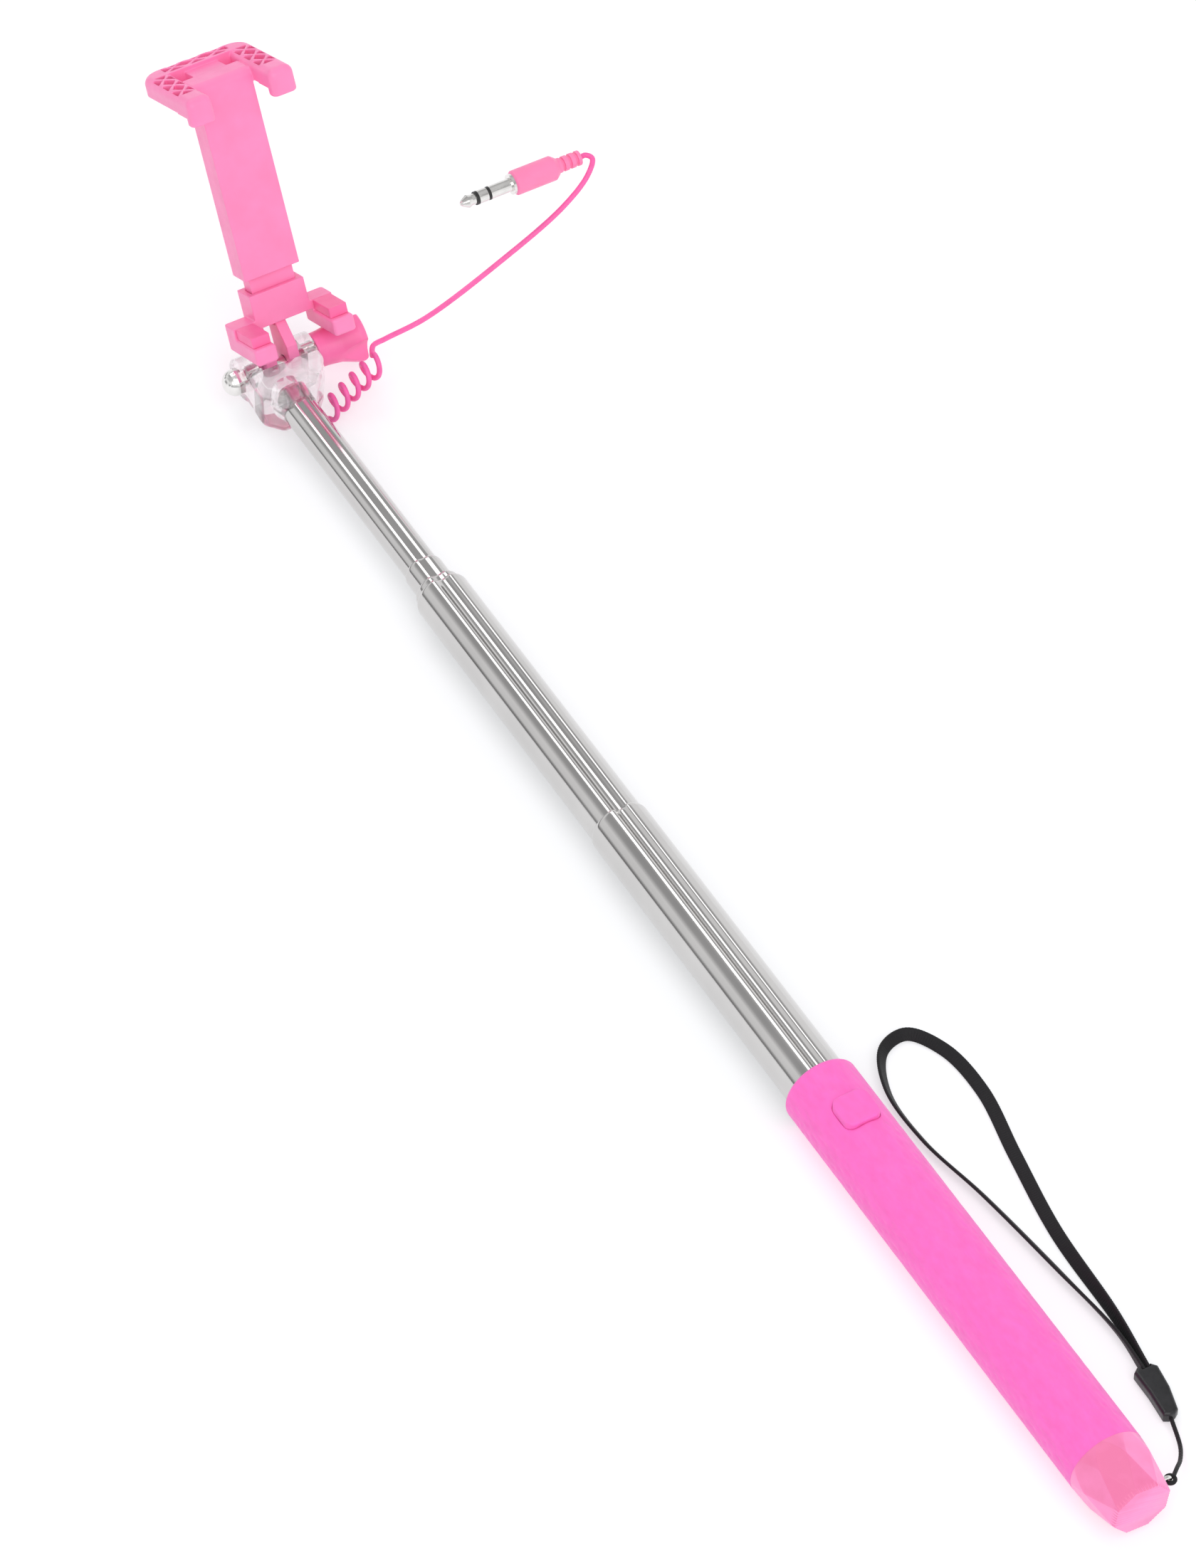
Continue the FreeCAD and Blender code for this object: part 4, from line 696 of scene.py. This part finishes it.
def make_ribbon():
    """Woven webbing: a flat tube of crossing yarns, each a small ridge, with rounded selvedges."""
    corners = np.array([point[:3] for point in LOOP])
    path = smooth_path([row(*corner) for corner in corners], 0.11 * MM)
    reach = np.concatenate([[0], np.cumsum(np.linalg.norm(np.diff(corners, axis=0), axis=1))])
    distance = np.linspace(0, 1, len(path)) * reach[-1]
    across, normal = ribbon_axes(path, distance, reach)
    angles = np.linspace(0, 2 * math.pi, 56, endpoint=False)
    place = np.sign(np.cos(angles)) * np.abs(np.cos(angles)) ** 0.45 * RIBBON_HALF_WIDTH
    height = np.sign(np.sin(angles)) * np.abs(np.sin(angles)) ** 0.55 * RIBBON_HALF_DEPTH
    travel = distance[:, None]
    rise = np.abs(np.sin(math.pi * (travel / YARN_LENGTH + place / YARN_WIDTH)))
    fall = np.abs(np.sin(math.pi * (travel / YARN_LENGTH - place / YARN_WIDTH)))
    relief = YARN_RELIEF * (np.maximum(rise, fall) ** 0.6 - 0.5)
    depth = (height + np.sign(height) * relief) * MM
    width = place * (1 + 0.012 * np.sin(2 * math.pi * travel / YARN_LENGTH)) * MM
    rings = (path[:, None, :] + across[:, None, :] * width[:, :, None]
             + normal[:, None, :] * depth[:, :, None])
    points, faces = lofted(rings)
    new_piece("wrist_ribbon", points, faces, STRAP, "strap", "strap_ribbon")


BRAID_RADIUS, BRAID_LAY, BRAID_RELIEF = 0.46, 0.42, 0.09
STRAP_RING_CENTRE, STRAP_RING_RADIUS = np.array([9.3, 3.5, 0.0]), 1.02


def braid(angle, travel):
    """Relief of three strands each way around a braided cord."""
    first = np.abs(np.sin(1.5 * angle + travel / (BRAID_LAY * MM)))
    second = np.abs(np.sin(1.5 * angle - travel / (BRAID_LAY * MM)))
    return BRAID_RELIEF * MM * (np.maximum(first, second) - 0.6)


def make_strap_cord():
    """The thin braided cord from the ring on the staple to the clasp."""
    ring = []
    for number in range(48):
        angle = 2 * math.pi * number / 48
        around = np.array([math.cos(angle), math.sin(angle), 0])
        ring.append(row(*(STRAP_RING_CENTRE + STRAP_RING_RADIUS * around)))
    lead = smooth_path([row(10.3, 3.85, 0), row(12.6, 5.9, -1.2), row(15.9, 9.2, -4.4),
                        row(19.2, 14, -7.2), row(21.5, 20.9, -7.35)], 0.09 * MM)
    loop, loop_faces = lofted(cord_rings(np.array(ring), BRAID_RADIUS * MM, 24, braid), closed=True)
    cord, cord_faces = lofted(cord_rings(lead, BRAID_RADIUS * MM, 24, braid))
    points, faces = joined([(loop, loop_faces), (cord, cord_faces)])
    new_piece("wrist_cord", points, faces, STRAP, "strap", "strap_cord")


SPRING_LOW, SPRING_HIGH, SPRING_OUT = 39.1, 72.2, -2.65
SPRING_SPACING, SPRING_RADIUS, SPRING_WIRE, SPRING_TURNS = 2.7, 1.3, 0.22, 20


def make_springs(per_turn=18):
    """Two tension springs, built in the jaw's rest pose and fixed in place on no body."""
    skins = []
    for side in (-1, 1):
        centre = CLAMP_MIDDLE + side * SPRING_SPACING
        path = []
        for number in range(SPRING_TURNS * per_turn + 1):
            share = number / (SPRING_TURNS * per_turn)
            angle = 2 * math.pi * SPRING_TURNS * share
            path.append(clamp_point(centre + SPRING_RADIUS * math.cos(angle),
                                    SPRING_LOW + (SPRING_HIGH - SPRING_LOW) * share,
                                    SPRING_OUT + SPRING_RADIUS * math.sin(angle)))
        skins.append(lofted(cord_rings(np.array(path), SPRING_WIRE * MM, 10)))
    points, faces = joined(skins)
    springs = new_piece("tension_springs", points, faces, SPRING, None, "jaw_springs")
    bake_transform(springs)


# ---- moulded edges on the CAD nodes -------------------------------------------------------------

# the voxel size in mm and the number of smoothing passes for each moulded piece
SOFT_EDGES = {"clamp_base": (0.15, 7), "upper_jaw": (0.15, 5), "foot_pads": (0.12, 6),
              "knob": (0.15, 8), "plug_barrel": (0.10, 5), "strap_clasp": (0.12, 6),
              "button_cap": (0.12, 5)}


def soften_edges(name, voxel_mm, passes):
    """Give a moulded piece the small radii a mould leaves on every edge."""
    item = NODES[name]
    remesh = item.modifiers.new("mould", "REMESH")
    remesh.mode = "VOXEL"
    remesh.voxel_size = voxel_mm * MM
    remesh.use_smooth_shade = True
    relax = item.modifiers.new("radii", "SMOOTH")
    relax.factor = 0.5
    relax.iterations = passes


# ---- studio -------------------------------------------------------------------------------------

def make_floor(size=4.0):
    """A glowing white table top under the lowest point of the stick."""
    low = min(cad_box[0][2], cad_box[1][2])
    mesh = bpy.data.meshes.new("floor")
    mesh.from_pydata([(-size, -size, low), (size, -size, low), (size, size, low), (-size, size, low)],
                     [], [(0, 1, 2, 3)])
    look = Finish("table_white", (0.50, 0.50, 0.51), 0.75)
    look.tint(look.noise(3.0), 0.995, 1.01)
    look.set("Emission Color", (0.98, 0.99, 1.0, 1))
    look.set("Emission Strength", 0.54)
    mesh.materials.append(look.material)
    floor = bpy.data.objects.new("floor", mesh)
    bpy.context.scene.collection.objects.link(floor)


def sky_side(tree, height, bands):
    """Grey levels by height, from the horizon (0) to straight up (1)."""
    ramp = tree.nodes.new("ShaderNodeValToRGB")
    tree.links.new(height, ramp.inputs["Fac"])
    for _ in range(len(bands) - 2):
        ramp.color_ramp.elements.new(0.5)
    for element, (position, grey) in zip(ramp.color_ramp.elements, bands):
        element.position = position
        element.color = (grey, grey, grey * 1.01, 1)
    return ramp.outputs["Color"]


def make_world():
    """A white tent with a dark gap along the floor on its left and dark seams above both walls."""
    world = bpy.data.worlds.new("tent")
    world.use_nodes = True
    tree = world.node_tree
    where = tree.nodes.new("ShaderNodeTexCoord")
    split = tree.nodes.new("ShaderNodeSeparateXYZ")
    tree.links.new(where.outputs["Generated"], split.inputs["Vector"])
    left = sky_side(tree, split.outputs["Z"],
                    [(0.0, 0.22), (0.07, 0.26), (0.20, 0.86), (0.46, 0.92), (0.62, 0.46), (0.74, 0.42),
                     (1.0, 0.8)])
    right = sky_side(tree, split.outputs["Z"],
                     [(0.0, 1.0), (0.40, 1.0), (0.54, 0.50), (0.74, 0.46), (1.0, 0.7)])
    side = tree.nodes.new("ShaderNodeMapRange")
    tree.links.new(split.outputs["X"], side.inputs["Value"])
    side.inputs["From Min"].default_value = -0.1
    side.inputs["From Max"].default_value = 0.1
    walls = tree.nodes.new("ShaderNodeMix")
    walls.data_type = "RGBA"
    colours = [socket for socket in walls.inputs if socket.type == "RGBA"]
    tree.links.new(side.outputs["Result"], walls.inputs["Factor"])
    tree.links.new(left, colours[0])
    tree.links.new(right, colours[1])
    mixed = [socket for socket in walls.outputs if socket.type == "RGBA"][0]
    tree.links.new(mixed, tree.nodes["Background"].inputs["Color"])
    bpy.context.scene.world = world


def area_light(name, place, target, size, power):
    """A rectangular soft box that faces the target."""
    data = bpy.data.lights.new(name, "AREA")
    data.shape = "RECTANGLE"
    data.size, data.size_y = size
    data.energy = power
    light = bpy.data.objects.new(name, data)
    light.location = place
    aim = Vector(target) - Vector(place)
    light.rotation_euler = aim.to_track_quat("-Z", "Y").to_euler()
    bpy.context.scene.collection.objects.link(light)


def make_lights():
    """A wide bank on the camera's side, and a narrower one that the tubes' rims reflect."""
    centre = (0.0, 0.22, 0.0)
    area_light("near_bank", (-0.35, -0.75, 1.35), centre, (1.7, 1.4), 14.5)
    area_light("far_bank", (0.0, 1.15, 1.25), centre, (0.62, 0.9), 4.0)


def make_camera():
    """A long lens from the butt's side, well above the table."""
    data = bpy.data.cameras.new("camera")
    data.lens = 145.5
    data.sensor_width = 36
    data.clip_start = 0.01
    camera = bpy.data.objects.new("camera", data)
    right = Vector((0.86733, -0.49773, -0.00163))
    up = Vector((0.37335, 0.64842, 0.66345))
    back = Vector((-0.32916, -0.57604, 0.74822))
    turn = Matrix((right, up, back)).transposed().to_4x4()
    camera.matrix_world = Matrix.Translation((-0.4814, -0.6123, 1.0994)) @ turn
    bpy.context.scene.collection.objects.link(camera)
    bpy.context.scene.camera = camera


dress_nodes()
for node_name, (voxel, smoothing) in SOFT_EDGES.items():
    soften_edges(node_name, voxel, smoothing)
make_grip()
make_cap()
make_tubes()
make_cable()
make_ribbon()
make_strap_cord()
make_springs()
make_floor()
make_world()
make_lights()
make_camera()

bpy.context.scene.view_settings.view_transform = "Standard"
bpy.context.scene.cycles.caustics_reflective = False
bpy.context.scene.cycles.sample_clamp_indirect = 1.5
